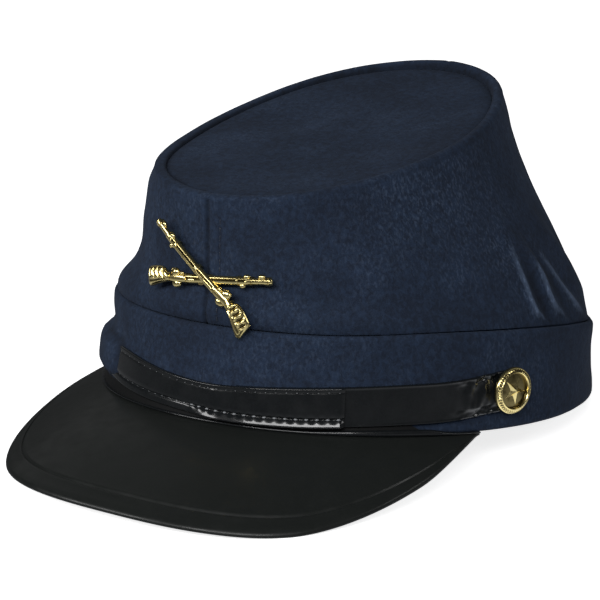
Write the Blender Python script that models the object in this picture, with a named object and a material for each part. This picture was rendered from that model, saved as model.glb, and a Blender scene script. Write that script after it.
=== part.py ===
"""A wool forage cap of the kepi kind, made piece by piece.

The cap is modelled in its own frame, in millimetres: the head opening's rim lies in z = 0,
-Y is the front, +X the wearer's left and +Z up. An angle runs round the cap from the centre
front, positive towards the wearer's left. At the end the whole cap is leaned back on an
empty, so that it stands on its peak and the rear of its band as it does on a table.
"""
import math
from collections import namedtuple

import bmesh
import bpy
from mathutils import Matrix, Vector

MM = 0.001
GAP = 0.3                       # clearance between pieces that touch

# Head opening: an oval, half as wide as HALF_WIDTH and longer behind than in front
HALF_WIDTH = 92.7
FRONT = 97.8
REAR = 98.9

# Band
BAND_WALL = 3.4                 # cloth folded double
BAND_LEAN = 1.3                 # how far the upper edge lies inside the rim
CUFF_ROUND = 1.5                # rounding of the folded edges
REST_FLAT = 0.8                 # the rear rim is pressed flat by this much where it rests
SIDES = 72                      # facets round the cap
BandHeight = namedtuple("BandHeight", "angle height")
BAND_HEIGHTS = (
    BandHeight(-180, 31.0), BandHeight(-126, 32.0), BandHeight(-75, 35.0), BandHeight(-30, 35.3),
    BandHeight(0, 35.6), BandHeight(30, 36.2), BandHeight(58, 37.8), BandHeight(82, 36.4),
    BandHeight(105, 33.0), BandHeight(130, 29.0), BandHeight(180, 31.0))

# Folds pushed out of (or, below zero, into) a cloth wall. Widths are in degrees round the
# cap and millimetres up it; slant moves the fold's angle by that many degrees per millimetre.
Fold = namedtuple("Fold", "angle height half_width half_height slant push")
BAND_FOLDS = (
    Fold(-52, 12, 10, 8, 0.0, 1.4),       # puff round the strap's right-hand stretch
    Fold(-50, 24, 20, 5, 0.0, -1.1),      # dip above it
    Fold(-54, 35, 26, 13, 0.0, -1.4),     # and the upper edge sinks in there
    Fold(112, 20, 16, 14, 0.0, 1.0))      # fuller at the wearer's left rear
CROWN_FOLDS = (
    Fold(-62, 55, 40, 10, 0.0, -2.6),     # slouch on the wearer's right
    Fold(-58, 84, 40, 9, 0.0, 1.2),
    Fold(6, 48, 42, 13, 0.0, 1.2),        # a little full behind the badge
    Fold(120, 56, 80, 17, 0.0, 2.2),      # belly low down on the left and rear,
    Fold(124, 42, 25, 12, 0.0, 1.6),
    Fold(120, 94, 80, 16, 0.0, -1.4),     # drawn in below the ring
    Fold(97.5, 56, 4, 15, -0.35, 1.5),    # three soft creases at the wearer's left rear
    Fold(106, 52, 4, 16, -0.50, -1.5),
    Fold(117, 56, 5, 17, -0.45, 1.5),
    Fold(165, 60, 9, 20, 0.2, -1.6),
    Fold(-128, 55, 9, 16, 0.4, -1.8))

# Crown
CLOTH = 2.3                     # the wall's thickness across its lean
TUCK = 8.0                      # how far the wall runs down inside the band
OVERLAP = Fold(-48, 3.3, 48, 6, 0.0, 3.6)   # cloth that comes out over the band's edge, with
                                # its height counted from that edge
OVERLAP_RISE = 1.8              # height over which the slouch comes out there
DISC_HALF_WIDTH = 53.3
DISC_HALF_LENGTH = 78.1
DISC_CENTRE = Vector((0.8, -17.3, 101.1))
DISC_TILT = math.radians(12.8)  # the disc's front edge is its lower one
DISC_CLOTH = 2.4
RING_WIDTH = 4.6                # rolled ring between the disc and the wall
LIP_FRONT = 1.3                 # how far the ring stands above the disc
LIP_REAR = 3.1
LIP_SAG = 1.5                   # it lies lower on the wearer's right
SEAM_HALF_GAP = 0.16            # half the gap between the two panels, in degrees

# Peak
PEAK_WALL = 2.0
PEAK_ANGLE = 69.5               # it is sewn on from here to here, round the front
PEAK_HALF_WIDTH = 90.1
PEAK_BASE = -40.1               # line across the cap from which its edge is drawn forward
PEAK_REACH = 108.9              # from that line to its front edge
PEAK_TAIL = 5.0                 # its corners run on behind the line by this much
PEAK_SQUARENESS = 2.62          # power of the superellipse that its edge follows
PEAK_DROP = 25.4                # of its edge in the middle; it hangs a little lower beside
PEAK_SIDE_DROP = 5.7            # that, and its corners rise again
PEAK_CORNER_RISE = 10.4
PEAK_ARCH = 1.6                 # upward bow between the band and the edge
PEAK_UNDER = 2.9                # how far it runs in under the band
PEAK_LAP = 0.6                  # how far its upper face runs flat before it slopes down
PEAK_SWEEP = 89.7               # the edge is drawn from minus this to plus this angle

# Straps, as lines on the band: height of the strap's middle, and its width, at each angle
STRAP_WALL = 1.2
StrapRow = namedtuple("StrapRow", "angle height")
STRAP_LINE = (
    StrapRow(-90, 12.2), StrapRow(-70, 12.4), StrapRow(-54, 13.6), StrapRow(-44, 13.4),
    StrapRow(-30, 12.0), StrapRow(-16, 9.1), StrapRow(0, 7.9), StrapRow(12, 8.2),
    StrapRow(25, 9.5), StrapRow(47, 11.6), StrapRow(60, 12.6), StrapRow(75, 15.2),
    StrapRow(90, 15.2))
STRAP_WIDTHS = (
    StrapRow(-90, 14.0), StrapRow(-65, 13.6), StrapRow(-50, 12.6), StrapRow(-28, 13.2),
    StrapRow(-20, 12.2), StrapRow(2, 11.8), StrapRow(30, 15.0), StrapRow(90, 15.0))
LONG_STRAP_END = 35.1           # the stitched strap's square end, past the centre front
SHORT_STRAP_END = 10.0          # the plain strap runs on beneath it to here
OVERLAP_CLIMB = 8.0             # degrees in which the long strap climbs over the short one
STRAP_STEP = 3.2                # degrees between a strap's sections

# Buttons
BUTTON_ANGLE = 75.0             # on the strap's middle line, on either side
BUTTON_TAIL = 6.5               # a strap's rounded end runs this far past its button's middle
BUTTON_RADIUS = 8.9
BUTTON_SIDES = 32
BUTTON_FIELD = 1.7              # height of the sunk field inside the rim
STAR_POINTS = 5
STAR_RADIUS = 5.9
STAR_WAIST = 2.3
STAR_RISE = 1.5                 # its middle stands this far above the field
STAR_TURN = math.radians(11.0)  # the button is sewn on a little askew

# Badge
RIFLE_LENGTH = 55.3
CROSSING = 0.521                # share of the length between the muzzle and the crossing
RIFLE_LIFT = 1.1                # the upper rifle lies this much further out
BADGE_ANGLE = -0.5              # where its post meets the front of the crown
BADGE_HEIGHT = 52.6
BADGE_LEAN = math.radians(-1.0) # its lower edge stands a little forward, over the band
BADGE_TURN = math.radians(17.7)  # and the whole badge is pinned on askew
RIFLE_SPREAD = math.radians(66.9)   # each rifle's lean from the badge's upright
BADGE_BEND = 110.0              # radius to which the badge is bowed
BADGE_POST = 1.4
BADGE_POST_RADIUS = 2.2
# A rifle from butt to muzzle: how far it reaches above and below its axis, and its relief
Station = namedtuple("Station", "along above below thick")
RIFLE = (
    Station(0.000, 3.2, 3.6, 1.6), Station(0.025, 3.7, 3.9, 2.4), Station(0.100, 4.1, 2.8, 2.8),
    Station(0.150, 3.8, 2.1, 2.8), Station(0.190, 2.2, 1.6, 2.5), Station(0.215, 1.4, 1.4, 2.3),
    Station(0.238, 2.8, 2.8, 2.3), Station(0.268, 4.0, 4.0, 2.4), Station(0.298, 2.8, 2.8, 2.3),
    Station(0.330, 1.6, 1.7, 2.3), Station(0.560, 1.4, 1.5, 2.2), Station(0.780, 1.3, 1.4, 2.1),
    Station(0.800, 1.3, 2.8, 2.2), Station(0.835, 2.7, 1.5, 2.2), Station(0.862, 1.0, 1.0, 1.8),
    Station(0.922, 0.9, 0.9, 1.7), Station(0.940, 2.4, 0.9, 1.8), Station(0.958, 0.9, 0.9, 1.7),
    Station(1.000, 1.1, 1.1, 1.7))


def clear_scene():
    for item in list(bpy.data.objects):
        bpy.data.objects.remove(item, do_unlink=True)


def collection(name):
    made = bpy.data.collections.new(name)
    bpy.context.scene.collection.children.link(made)
    return made


def material(name, color, roughness, metallic):
    made = bpy.data.materials.new(name)
    made.use_nodes = True
    shader = made.node_tree.nodes["Principled BSDF"]
    shader.inputs["Base Color"].default_value = (*color, 1.0)
    shader.inputs["Roughness"].default_value = roughness
    shader.inputs["Metallic"].default_value = metallic
    return made


def cloth_material(node):
    return material(f"{node}_wool", (0.021, 0.027, 0.050), 0.9, 0.0)


def patent_material(node):
    return material(f"{node}_patent", (0.009, 0.010, 0.010), 0.22, 0.0)


def brass_material(node):
    return material(f"{node}_brass", (0.60, 0.42, 0.13), 0.28, 1.0)


def add_piece(name, mesh, finish, parts, smooth_angle=40.0):
    """Turn a bmesh in millimetres into a named object in metres."""
    bmesh.ops.scale(mesh, vec=(MM, MM, MM), verts=mesh.verts)
    data = bpy.data.meshes.new(name)
    mesh.to_mesh(data)
    mesh.free()
    data.shade_smooth()
    data.set_sharp_from_angle(angle=math.radians(smooth_angle))
    data.materials.append(finish(name))
    made = bpy.data.objects.new(name, data)
    parts.objects.link(made)
    return made


def ease(share):
    """0 to 1 with soft ends; values outside are held."""
    share = min(max(share, 0.0), 1.0)
    return share * share * (3.0 - 2.0 * share)


def along(rows, angle):
    """Height in a table of (angle, height) rows, eased from row to row."""
    for low, high in zip(rows, rows[1:]):
        if angle <= high.angle:
            share = (angle - low.angle) / (high.angle - low.angle)
            return low.height + (high.height - low.height) * ease(share)
    return rows[-1].height


def wrap(angle):
    """The same direction, between -180 and 180 degrees."""
    return (angle + 180.0) % 360.0 - 180.0


def folded(folds, angle, height):
    """How far the folds push the wall out at this angle and height."""
    total = 0.0
    for fold in folds:
        middle = fold.angle + fold.slant * (height - fold.height)
        across = wrap(angle - middle) / fold.half_width
        up = (height - fold.height) / fold.half_height
        total += fold.push * math.exp(-across * across - up * up)
    return total


def oval(angle, out, half_width=HALF_WIDTH, front=FRONT, rear=REAR):
    """Point of the oval outline, moved outwards along its normal."""
    turn = math.radians(angle)
    length = front if math.cos(turn) > 0.0 else rear
    point = Vector((half_width * math.sin(turn), -length * math.cos(turn)))
    normal = Vector((math.sin(turn) / half_width, -math.cos(turn) / length)).normalized()
    return point + normal * out


def band_height(angle):
    return along(BAND_HEIGHTS, wrap(angle))


def band_point(angle, height, out):
    """Point of the band's outer face at a height, moved outwards."""
    share = height / band_height(angle)
    push = folded(BAND_FOLDS, angle, height)
    flat = oval(angle, out + push - BAND_LEAN * share)
    return Vector((flat.x, flat.y, height))


def tube(sides, stations, capped):
    """A cylinder with its upright edges cut, so that it has a ring of vertices a station."""
    mesh = bmesh.new()
    bmesh.ops.create_cone(mesh, cap_ends=capped, segments=sides, radius1=1.0, radius2=1.0, depth=1.0)
    upright = [edge for edge in mesh.edges
               if abs(edge.verts[0].co.z - edge.verts[1].co.z) > 0.5]
    bmesh.ops.subdivide_edges(mesh, edges=upright, cuts=stations - 2)
    return mesh


def warp_tube(mesh, sides, stations, place):
    """Move each vertex of a tube to place(side, station)."""
    for vert in mesh.verts:
        turn = math.atan2(vert.co.y, vert.co.x)
        side = round(turn / (2.0 * math.pi) * sides) % sides
        station = round((vert.co.z + 0.5) * (stations - 1))
        vert.co = place(side, station)


def face_outwards(mesh):
    bmesh.ops.recalc_face_normals(mesh, faces=mesh.faces)


def peak_edge(turn):
    """Point of the peak's outer edge; turn runs from -90 to 90 degrees."""
    attach = oval(PEAK_ANGLE, 0.0)
    sine, cosine = math.sin(math.radians(turn)), math.cos(math.radians(turn))
    across = math.copysign(abs(sine) ** (2.0 / PEAK_SQUARENESS), sine)
    ahead = abs(cosine) ** (2.0 / PEAK_SQUARENESS)
    draw_in = (1.0 - attach.x / PEAK_HALF_WIDTH) * (1.0 - min(3.0 * ahead, 1.0)) ** 2
    x = PEAK_HALF_WIDTH * across * (1.0 - draw_in)
    y = PEAK_BASE - PEAK_REACH * ahead + PEAK_TAIL * (1.0 - min(4.0 * ahead, 1.0)) ** 2
    drop = PEAK_DROP + PEAK_SIDE_DROP * across ** 2 - PEAK_CORNER_RISE * across ** 4
    return Vector((x, y, -drop * min(1.6 * ahead, 1.0)))


def peak_point(turn, share):
    """Point of the peak's upper face: share 0 at the band, 1 at the outer edge.

    A share below 0 is the inner edge, under the band.
    """
    angle = PEAK_ANGLE * turn / PEAK_SWEEP
    if share < 0.0:
        inner = oval(angle, -PEAK_UNDER)
        return Vector((inner.x, inner.y, -GAP))
    start = oval(angle, PEAK_LAP)
    start = Vector((start.x, start.y, -GAP))
    edge = peak_edge(turn)
    point = start.lerp(edge, share)
    point.z += PEAK_ARCH * math.sin(math.pi * share) * math.cos(math.radians(turn)) ** 0.5
    return point


def rest_pitch(peak):
    """Angle by which the cap leans back when the peak touches the table."""
    return max(math.atan2(REST_FLAT - vert.co.z / MM, REAR - vert.co.y / MM)
               for vert in peak.data.vertices)


def make_peak(parts):
    columns, rows = 44, 8
    shares = (-1.0, 0.0, 0.14, 0.34, 0.56, 0.76, 0.87, 0.95, 1.0)
    mesh = bmesh.new()
    bmesh.ops.create_grid(mesh, x_segments=columns, y_segments=rows, size=1.0)
    for vert in mesh.verts:
        row = round((vert.co.y + 1.0) * 0.5 * rows)
        vert.co = peak_point(vert.co.x * PEAK_SWEEP, shares[row])
    bmesh.ops.recalc_face_normals(mesh, faces=mesh.faces)
    if sum(face.normal.z for face in mesh.faces) < 0.0:
        bmesh.ops.reverse_faces(mesh, faces=mesh.faces)
    bmesh.ops.solidify(mesh, geom=mesh.faces[:], thickness=PEAK_WALL)
    face_outwards(mesh)
    return add_piece("peak", mesh, patent_material, parts)


def make_band(parts, pitch):
    """The cuff: one closed section, taken round the head opening."""
    def floor_height(y):
        return REST_FLAT - (REAR - y) * math.tan(pitch)

    Corner = namedtuple("Corner", "share rise depth")
    section = (
        Corner(0.0, 0.0, CUFF_ROUND), Corner(0.0, CUFF_ROUND, 0.0), Corner(0.17, 0.0, 0.0),
        Corner(0.31, 0.0, 0.0), Corner(0.45, 0.0, 0.0), Corner(0.56, 0.0, 0.0),
        Corner(0.67, 0.0, 0.0), Corner(0.83, 0.0, 0.0), Corner(1.0, -CUFF_ROUND, 0.0),
        Corner(1.0, -0.4, 0.45), Corner(1.0, 0.0, CUFF_ROUND), Corner(1.0, 0.0, BAND_WALL - 0.3),
        Corner(1.0, -CUFF_ROUND, BAND_WALL), Corner(0.5, 0.0, BAND_WALL),
        Corner(0.0, 0.0, BAND_WALL))
    stations = len(section) + 1

    def place(side, station):
        corner = section[station % len(section)]
        angle = side * 360.0 / SIDES
        height = corner.share * band_height(angle) + corner.rise
        point = band_point(angle, height, -corner.depth)
        point.z = max(point.z, floor_height(point.y))
        return point

    mesh = tube(SIDES, stations, capped=False)
    warp_tube(mesh, SIDES, stations, place)
    bmesh.ops.remove_doubles(mesh, verts=mesh.verts, dist=0.001)
    face_outwards(mesh)
    return add_piece("band", mesh, cloth_material, parts)


def disc_point(angle, inset, rise):
    """Point in the tilted frame of the top disc; inset runs inwards from the ring's outside."""
    flat = oval(angle, -inset, DISC_HALF_WIDTH + RING_WIDTH, DISC_HALF_LENGTH + RING_WIDTH,
                DISC_HALF_LENGTH + RING_WIDTH)
    return DISC_CENTRE + Matrix.Rotation(DISC_TILT, 3, "X") @ Vector((flat.x, flat.y, rise))


def lip(angle):
    """Height of the rolled ring above the disc."""
    turn = math.radians(angle)
    rise = (LIP_REAR - LIP_FRONT) * (0.5 - 0.5 * math.cos(turn))
    return LIP_FRONT + rise - LIP_SAG * max(-math.sin(turn), 0.0)


def wall_point(angle, share, depth):
    """Point of the wall: share 0 at the band's upper edge, 1 at the disc's height."""
    start_height = band_height(angle)
    if share <= 0.0:
        return band_point(angle, start_height + TUCK * share, -BAND_WALL - GAP - depth)
    low = band_point(angle, start_height, -BAND_WALL - GAP)
    high = disc_point(angle, 0.0, 0.0)
    height = start_height + (high.z - start_height) * share
    calm = ease(6.0 * share) * ease(6.0 * (1.0 - share))
    push = folded(CROWN_FOLDS, angle, height) * calm
    above = height - start_height
    push += folded((OVERLAP,), angle, above) * ease(above / OVERLAP_RISE)
    outward = (oval(angle, 1.0) - oval(angle, 0.0)) * (push - depth)
    flat = low.lerp(high, share).xy + outward
    return Vector((flat.x, flat.y, height))


def make_crown_panel(name, start, end, parts):
    """Half of the wall: an upright closed section, taken round from seam to seam."""
    shares = (-1.0, -0.1, 0.010, 0.030, 0.06, 0.11, 0.17, 0.25, 0.36, 0.48, 0.60, 0.72, 0.84, 0.94)
    Roll = namedtuple("Roll", "inset lip rise")
    roll = (Roll(0.0, 0.3, 0.0), Roll(0.8, 0.85, 0.0), Roll(2.2, 1.0, 0.0), Roll(3.7, 0.85, 0.0),
            Roll(RING_WIDTH - GAP, 0.3, 0.0),
            Roll(RING_WIDTH - GAP, 0.0, -DISC_CLOTH - 0.4))
    inner = (0.91, 0.80, 0.66, 0.50, 0.34, 0.22, 0.13, 0.07, -0.1, -1.0)
    sides = len(shares) + len(roll) + len(inner)
    stations = SIDES // 2 + 1

    def place(side, station):
        angle = start + (end - start) * station / (stations - 1)
        if side < len(shares):
            return wall_point(angle, shares[side], 0.0)
        side -= len(shares)
        if side < len(roll):
            row = roll[side]
            return disc_point(angle, row.inset, row.lip * lip(angle) + row.rise)
        return wall_point(angle, inner[side - len(roll)], CLOTH)

    mesh = tube(sides, stations, capped=True)
    warp_tube(mesh, sides, stations, place)
    bmesh.ops.triangulate(mesh, faces=[face for face in mesh.faces if len(face.verts) > 4])
    face_outwards(mesh)
    return add_piece(name, mesh, cloth_material, parts)


def make_crown_top(parts):
    """The flat oval disc inside the rolled ring."""
    mesh = tube(SIDES, 2, capped=True)

    def place(side, station):
        return disc_point(side * 360.0 / SIDES, RING_WIDTH, (station - 1) * DISC_CLOTH)

    warp_tube(mesh, SIDES, 2, place)
    face_outwards(mesh)
    return add_piece("crown_top", mesh, cloth_material, parts)


def strap_point(angle, across, out):
    """Point over the band on a strap's course; across runs over the strap's width."""
    height = along(STRAP_LINE, angle) + across
    return band_point(angle, height, out)


def over_short_strap(angle):
    """Height of the long strap above the band: it climbs over the short strap's end."""
    climb = ease((angle - SHORT_STRAP_END + OVERLAP_CLIMB) / OVERLAP_CLIMB * 1.25)
    return GAP + (STRAP_WALL + GAP) * climb


def on_band(_angle):
    """Height above the band of the strap that lies on the band itself."""
    return GAP


def make_strap(name, start, end, lie, round_start, round_end, parts):
    """A strap laid on the band: one section, taken along its course from start to end."""
    nose = math.degrees(0.5 * along(STRAP_WIDTHS, BUTTON_ANGLE) / HALF_WIDTH)
    stations = 2 + round(abs(end - start) / STRAP_STEP)

    def half_width(angle):
        reach = 1.0
        if round_start:
            reach = min(reach, (angle - start) / nose)
        if round_end:
            reach = min(reach, (end - angle) / nose)
        narrowed = math.sqrt(max(1.0 - (1.0 - max(reach, 0.02)) ** 2, 0.08))
        return 0.5 * along(STRAP_WIDTHS, angle) * narrowed

    edge = 0.86
    section = ((-1.0, 0.0), (-1.0, 0.6), (-edge, 1.0), (0.0, 1.0), (edge, 1.0), (1.0, 0.6),
               (1.0, 0.0), (0.0, 0.0))

    def place(side, station):
        angle = start + (end - start) * station / (stations - 1)
        across, up = section[side]
        return strap_point(angle, across * half_width(angle), lie(angle) + up * STRAP_WALL)

    mesh = tube(len(section), stations, capped=True)
    warp_tube(mesh, len(section), stations, place)
    face_outwards(mesh)
    return add_piece(name, mesh, patent_material, parts)


def screw_solid(name, outline, parts):
    """A turned solid from a profile that runs from the axis down its outer side."""
    mesh = bmesh.new()
    verts = [mesh.verts.new((radius, 0.0, height)) for radius, height in outline]
    for one, two in zip(verts, verts[1:]):
        mesh.edges.new((one, two))
    bmesh.ops.spin(mesh, geom=mesh.verts[:] + mesh.edges[:], cent=(0, 0, 0), axis=(0, 0, 1),
                   angle=2.0 * math.pi, steps=BUTTON_SIDES, use_merge=True, dvec=(0, 0, 0))
    bmesh.ops.remove_doubles(mesh, verts=mesh.verts, dist=0.001)
    face_outwards(mesh)
    return add_piece(name, mesh, brass_material, parts)


def star_helper(name, base, parts):
    """A faceted five-point star, sunk into the button's face at its foot."""
    mesh = bmesh.new()
    bmesh.ops.create_cone(mesh, cap_ends=True, segments=2 * STAR_POINTS, radius1=STAR_RADIUS,
                          radius2=0.05, depth=1.0)
    for vert in mesh.verts:
        turn = math.atan2(vert.co.y, vert.co.x) + 0.5 * math.pi
        number = round(turn / math.pi * STAR_POINTS)
        low = vert.co.z < 0.0
        if low and number % 2:
            vert.co *= STAR_WAIST / STAR_RADIUS
        vert.co.z = base if low else BUTTON_FIELD + STAR_RISE
    bmesh.ops.rotate(mesh, cent=(0, 0, 0), matrix=Matrix.Rotation(STAR_TURN, 3, "Z"),
                     verts=mesh.verts)
    face_outwards(mesh)
    return add_piece(name, mesh, brass_material, parts)


def join(body, addition):
    """Fuse a helper object into a body; the helper itself isn't part of the cap."""
    union = body.modifiers.new(addition.name, "BOOLEAN")
    union.operation = "UNION"
    union.solver = "EXACT"
    union.object = addition
    addition.hide_render = True
    addition.display_type = "WIRE"


def make_button(name, side, parts, cutters):
    """A domed button with a raised rim, a hollowed field and a raised star."""
    radius = BUTTON_RADIUS
    outline = ((0.0, BUTTON_FIELD), (0.71 * radius, BUTTON_FIELD), (0.745 * radius, 2.4),
               (0.785 * radius, 2.8), (0.825 * radius, 2.6), (0.95 * radius, 1.9), (radius, 1.0),
               (0.97 * radius, 0.4), (0.86 * radius, 0.0), (0.0, 0.0))
    button = screw_solid(name, outline, parts)
    star = star_helper(f"{name}_star", BUTTON_FIELD - 0.5, cutters)
    join(button, star)
    seat = STRAP_WALL + 2.0 * GAP
    place = strap_point(side * BUTTON_ANGLE, 0.0, seat)
    ahead = strap_point(side * BUTTON_ANGLE, 0.0, seat + 1.0)
    outward = (ahead - place).normalized()
    sideways = Vector((0, 0, 1)).cross(outward).normalized()
    upward = outward.cross(sideways)
    turn = Matrix((sideways, upward, outward)).transposed().to_4x4()
    for item in (button, star):
        item.matrix_world = Matrix.Translation(place * MM) @ turn
    return button


def rifle(lift, lean, side):
    """One rifle in the badge's plane: a section taken from butt to muzzle.

    The sights and the hammer are on the upper side, the guard on the lower one.
    """
    sides = 6

    def place(corner, number):
        row = RIFLE[number]
        outline = ((row.above, 0.0), (row.above, 0.6), (0.45 * row.above, 1.0),
                   (-0.45 * row.below, 1.0), (-row.below, 0.6), (-row.below, 0.0))
        across, rise = outline[corner]
        run = (row.along - (1.0 - CROSSING)) * RIFLE_LENGTH
        return Vector((run, -side * across, lift + rise * row.thick))

    mesh = tube(sides, len(RIFLE), capped=True)
    warp_tube(mesh, sides, len(RIFLE), place)
    bmesh.ops.rotate(mesh, cent=(0, 0, 0), matrix=Matrix.Rotation(lean, 3, "Z"), verts=mesh.verts)
    return mesh


def wall_at(angle, height):
    """Point of the wall's outer face at an angle and a height above the rim."""
    low, high = band_height(angle), disc_point(angle, 0.0, 0.0).z
    return wall_point(angle, (height - low) / (high - low), 0.0)


def make_badge(parts, cutters):
    """Two cast rifles, one over the other, on a short post that stands on the cloth."""
    upright = 0.5 * math.pi - BADGE_TURN
    under = rifle(0.0, upright - RIFLE_SPREAD, -1)
    over = rifle(RIFLE_LIFT, upright + RIFLE_SPREAD, 1)
    post = bmesh.new()
    bmesh.ops.create_cone(post, cap_ends=True, segments=12, radius1=BADGE_POST_RADIUS,
                          radius2=BADGE_POST_RADIUS, depth=2.0 * BADGE_POST)
    foot = wall_at(BADGE_ANGLE, BADGE_HEIGHT)
    frame = Matrix.Rotation(math.radians(90.0) + BADGE_LEAN, 3, "X")
    outward = frame @ Vector((0.0, 0.0, 1.0))
    seat = foot + outward * (GAP + BADGE_POST)
    made = []
    for name, mesh, home in (("crossed_rifles", under, parts), ("rifle_over", over, cutters),
                             ("badge_post", post, cutters)):
        for vert in mesh.verts:
            bowed = vert.co - Vector((0.0, 0.0, vert.co.x ** 2 / (2.0 * BADGE_BEND)))
            vert.co = seat + frame @ bowed
        face_outwards(mesh)
        made.append(add_piece(name, mesh, brass_material, home))
    badge = made[0]
    for item in made[1:]:
        join(badge, item)
    return badge


def place_on_table(parts, cutters, pitch):
    """Lean the cap back, stand it on z = 0 and centre its box on the origin."""
    carrier = bpy.data.objects.new("cap_on_table", None)
    parts.objects.link(carrier)
    for item in list(parts.objects) + list(cutters.objects):
        if item is not carrier:
            item.parent = carrier
    carrier.rotation_euler = (-pitch, 0.0, 0.0)
    bpy.context.view_layer.update()
    graph = bpy.context.evaluated_depsgraph_get()
    corners = []
    for item in parts.objects:
        if item.type == "MESH":
            data = item.evaluated_get(graph).to_mesh()
            corners += [item.matrix_world @ vert.co for vert in data.vertices]
    low = Vector(min(corner[axis] for corner in corners) for axis in range(3))
    high = Vector(max(corner[axis] for corner in corners) for axis in range(3))
    middle = (low + high) / 2.0
    carrier.location = (-middle.x, -middle.y, -low.z)


def main():
    clear_scene()
    parts = collection("kepi_cap")
    cutters = collection("cutters")
    peak = make_peak(parts)
    pitch = rest_pitch(peak)
    make_band(parts, pitch)
    make_crown_panel("crown_panel_left", SEAM_HALF_GAP, 180.0 - SEAM_HALF_GAP, parts)
    make_crown_panel("crown_panel_right", -180.0 + SEAM_HALF_GAP, -SEAM_HALF_GAP, parts)
    make_crown_top(parts)
    tail = math.degrees(BUTTON_TAIL / HALF_WIDTH)
    make_strap("chin_strap_short", SHORT_STRAP_END, BUTTON_ANGLE + tail, on_band, False, True,
               parts)
    make_strap("chin_strap_long", -BUTTON_ANGLE - tail, LONG_STRAP_END, over_short_strap, True,
               False, parts)
    make_button("button_left", 1, parts, cutters)
    make_button("button_right", -1, parts, cutters)
    make_badge(parts, cutters)
    place_on_table(parts, cutters, pitch)


main()
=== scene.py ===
# %% [markdown]
# # A wool kepi
# A kepi is a soft cloth cap: a doubled band round the head, two wall panels that lean in to a
# small oval top, a glossy peak, a strap over the band held by two brass buttons, and a brass
# badge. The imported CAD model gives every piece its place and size. This lesson dresses each
# piece anew, with rolled edges, seams, stitches and cast detail, and then gives it its finish.

# %% Load the frame
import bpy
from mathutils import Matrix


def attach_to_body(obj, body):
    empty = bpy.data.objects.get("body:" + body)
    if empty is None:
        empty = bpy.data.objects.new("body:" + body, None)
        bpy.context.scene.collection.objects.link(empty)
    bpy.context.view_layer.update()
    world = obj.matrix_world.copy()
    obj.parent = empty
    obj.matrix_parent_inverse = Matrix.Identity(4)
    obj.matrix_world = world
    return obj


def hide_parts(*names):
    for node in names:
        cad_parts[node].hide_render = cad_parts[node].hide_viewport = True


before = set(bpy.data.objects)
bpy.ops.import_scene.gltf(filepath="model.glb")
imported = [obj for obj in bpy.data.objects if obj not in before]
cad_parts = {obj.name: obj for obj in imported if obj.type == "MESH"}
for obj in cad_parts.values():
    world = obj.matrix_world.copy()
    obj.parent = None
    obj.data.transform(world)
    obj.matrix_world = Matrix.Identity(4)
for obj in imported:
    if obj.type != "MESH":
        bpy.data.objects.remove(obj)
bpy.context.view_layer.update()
print("CAD nodes:", ", ".join(sorted(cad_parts)))

# %% [markdown]
# ## Millimetres, and a cap that stands on its peak
# A hatter measures a cap from the rim of the head opening, so the pieces are made in that frame,
# in millimetres: the rim is z = 0, -Y the front and +X the wearer's left. The resting cap leans
# back a little, because it stands on its peak and on the rear of its band. One matrix carries
# each finished mesh from the rim's frame to the table.

# %% Units and the resting place
import bisect
from collections import namedtuple
from math import atan2, copysign, cos, degrees, exp, pi, radians, sin, sqrt, tan

import bmesh
import bpy
from mathutils import Matrix, Vector, noise

MM = 0.001
GAP = 0.3  # sewn pieces lie this far apart
LEAN_BACK = radians(7.1937)
RIM_CENTRE = Vector((-0.071, 25.205, 11.591))
TO_TABLE = (Matrix.Scale(MM, 4) @ Matrix.Translation(RIM_CENTRE)
            @ Matrix.Rotation(-LEAN_BACK, 4, "X"))
print("rim centre on the table, mm:", [round(value, 1) for value in RIM_CENTRE])

# %% [markdown]
# ## One way to make a formed piece
# Nearly every piece is a section carried along a course: round the head for the band, from seam
# to seam for a wall panel, from corner to corner for the peak. Blender's cylinder gives the
# clean quads for that. Its sides are the section, and cuts along its height are the stations.
# Each vertex then moves to the place that the piece's own rule gives it. A modifier stack could
# bend a flat strip, but it couldn't hold a lean, a fold and a rolled edge at once.

# %% Sweep, finish and report a piece
def sweep(sides, stations, place, capped=True, mark=None, amount=None):
    """A cylinder's quads, with each vertex moved to place(side, station).

    A mark is a named value that its material reads; amount(side, station) gives it.
    """
    mesh = bmesh.new()
    marks = mesh.verts.layers.float.new(mark) if mark else None
    bmesh.ops.create_cone(mesh, cap_ends=capped, segments=sides, radius1=1.0, radius2=1.0,
                          depth=1.0)
    upright = [edge for edge in mesh.edges
               if abs(edge.verts[0].co.z - edge.verts[1].co.z) > 0.5]
    bmesh.ops.subdivide_edges(mesh, edges=upright, cuts=stations - 2)
    for vert in mesh.verts:
        turn = atan2(vert.co.y, vert.co.x)
        side = round(turn / (2.0 * pi) * sides) % sides
        station = round((vert.co.z + 0.5) * (stations - 1))
        vert.co = place(side, station)
        if mark:
            vert[marks] = amount(side, station)
    return mesh


def add_object(name, data):
    """A new object, placed in the scene."""
    item = bpy.data.objects.new(name, data)
    bpy.context.scene.collection.objects.link(item)
    return item


def finish_piece(name, mesh, finish, nodes, sharp=50.0):
    """Close the mesh, stand it on the table and let it take the place of its CAD nodes."""
    bmesh.ops.remove_doubles(mesh, verts=mesh.verts, dist=0.002)
    bmesh.ops.recalc_face_normals(mesh, faces=mesh.faces)
    bmesh.ops.transform(mesh, matrix=TO_TABLE, verts=mesh.verts)
    data = bpy.data.meshes.new(name)
    mesh.to_mesh(data)
    mesh.free()
    data.shade_smooth()
    data.set_sharp_from_angle(angle=radians(sharp))
    data.materials.append(finish)
    piece = add_object(name, data)
    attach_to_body(piece, "root")
    if nodes:
        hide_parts(*nodes)
    size = [round(length / MM, 1) for length in piece.dimensions]
    print(f"{name}: {len(data.polygons)} faces, {size} mm")


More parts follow.
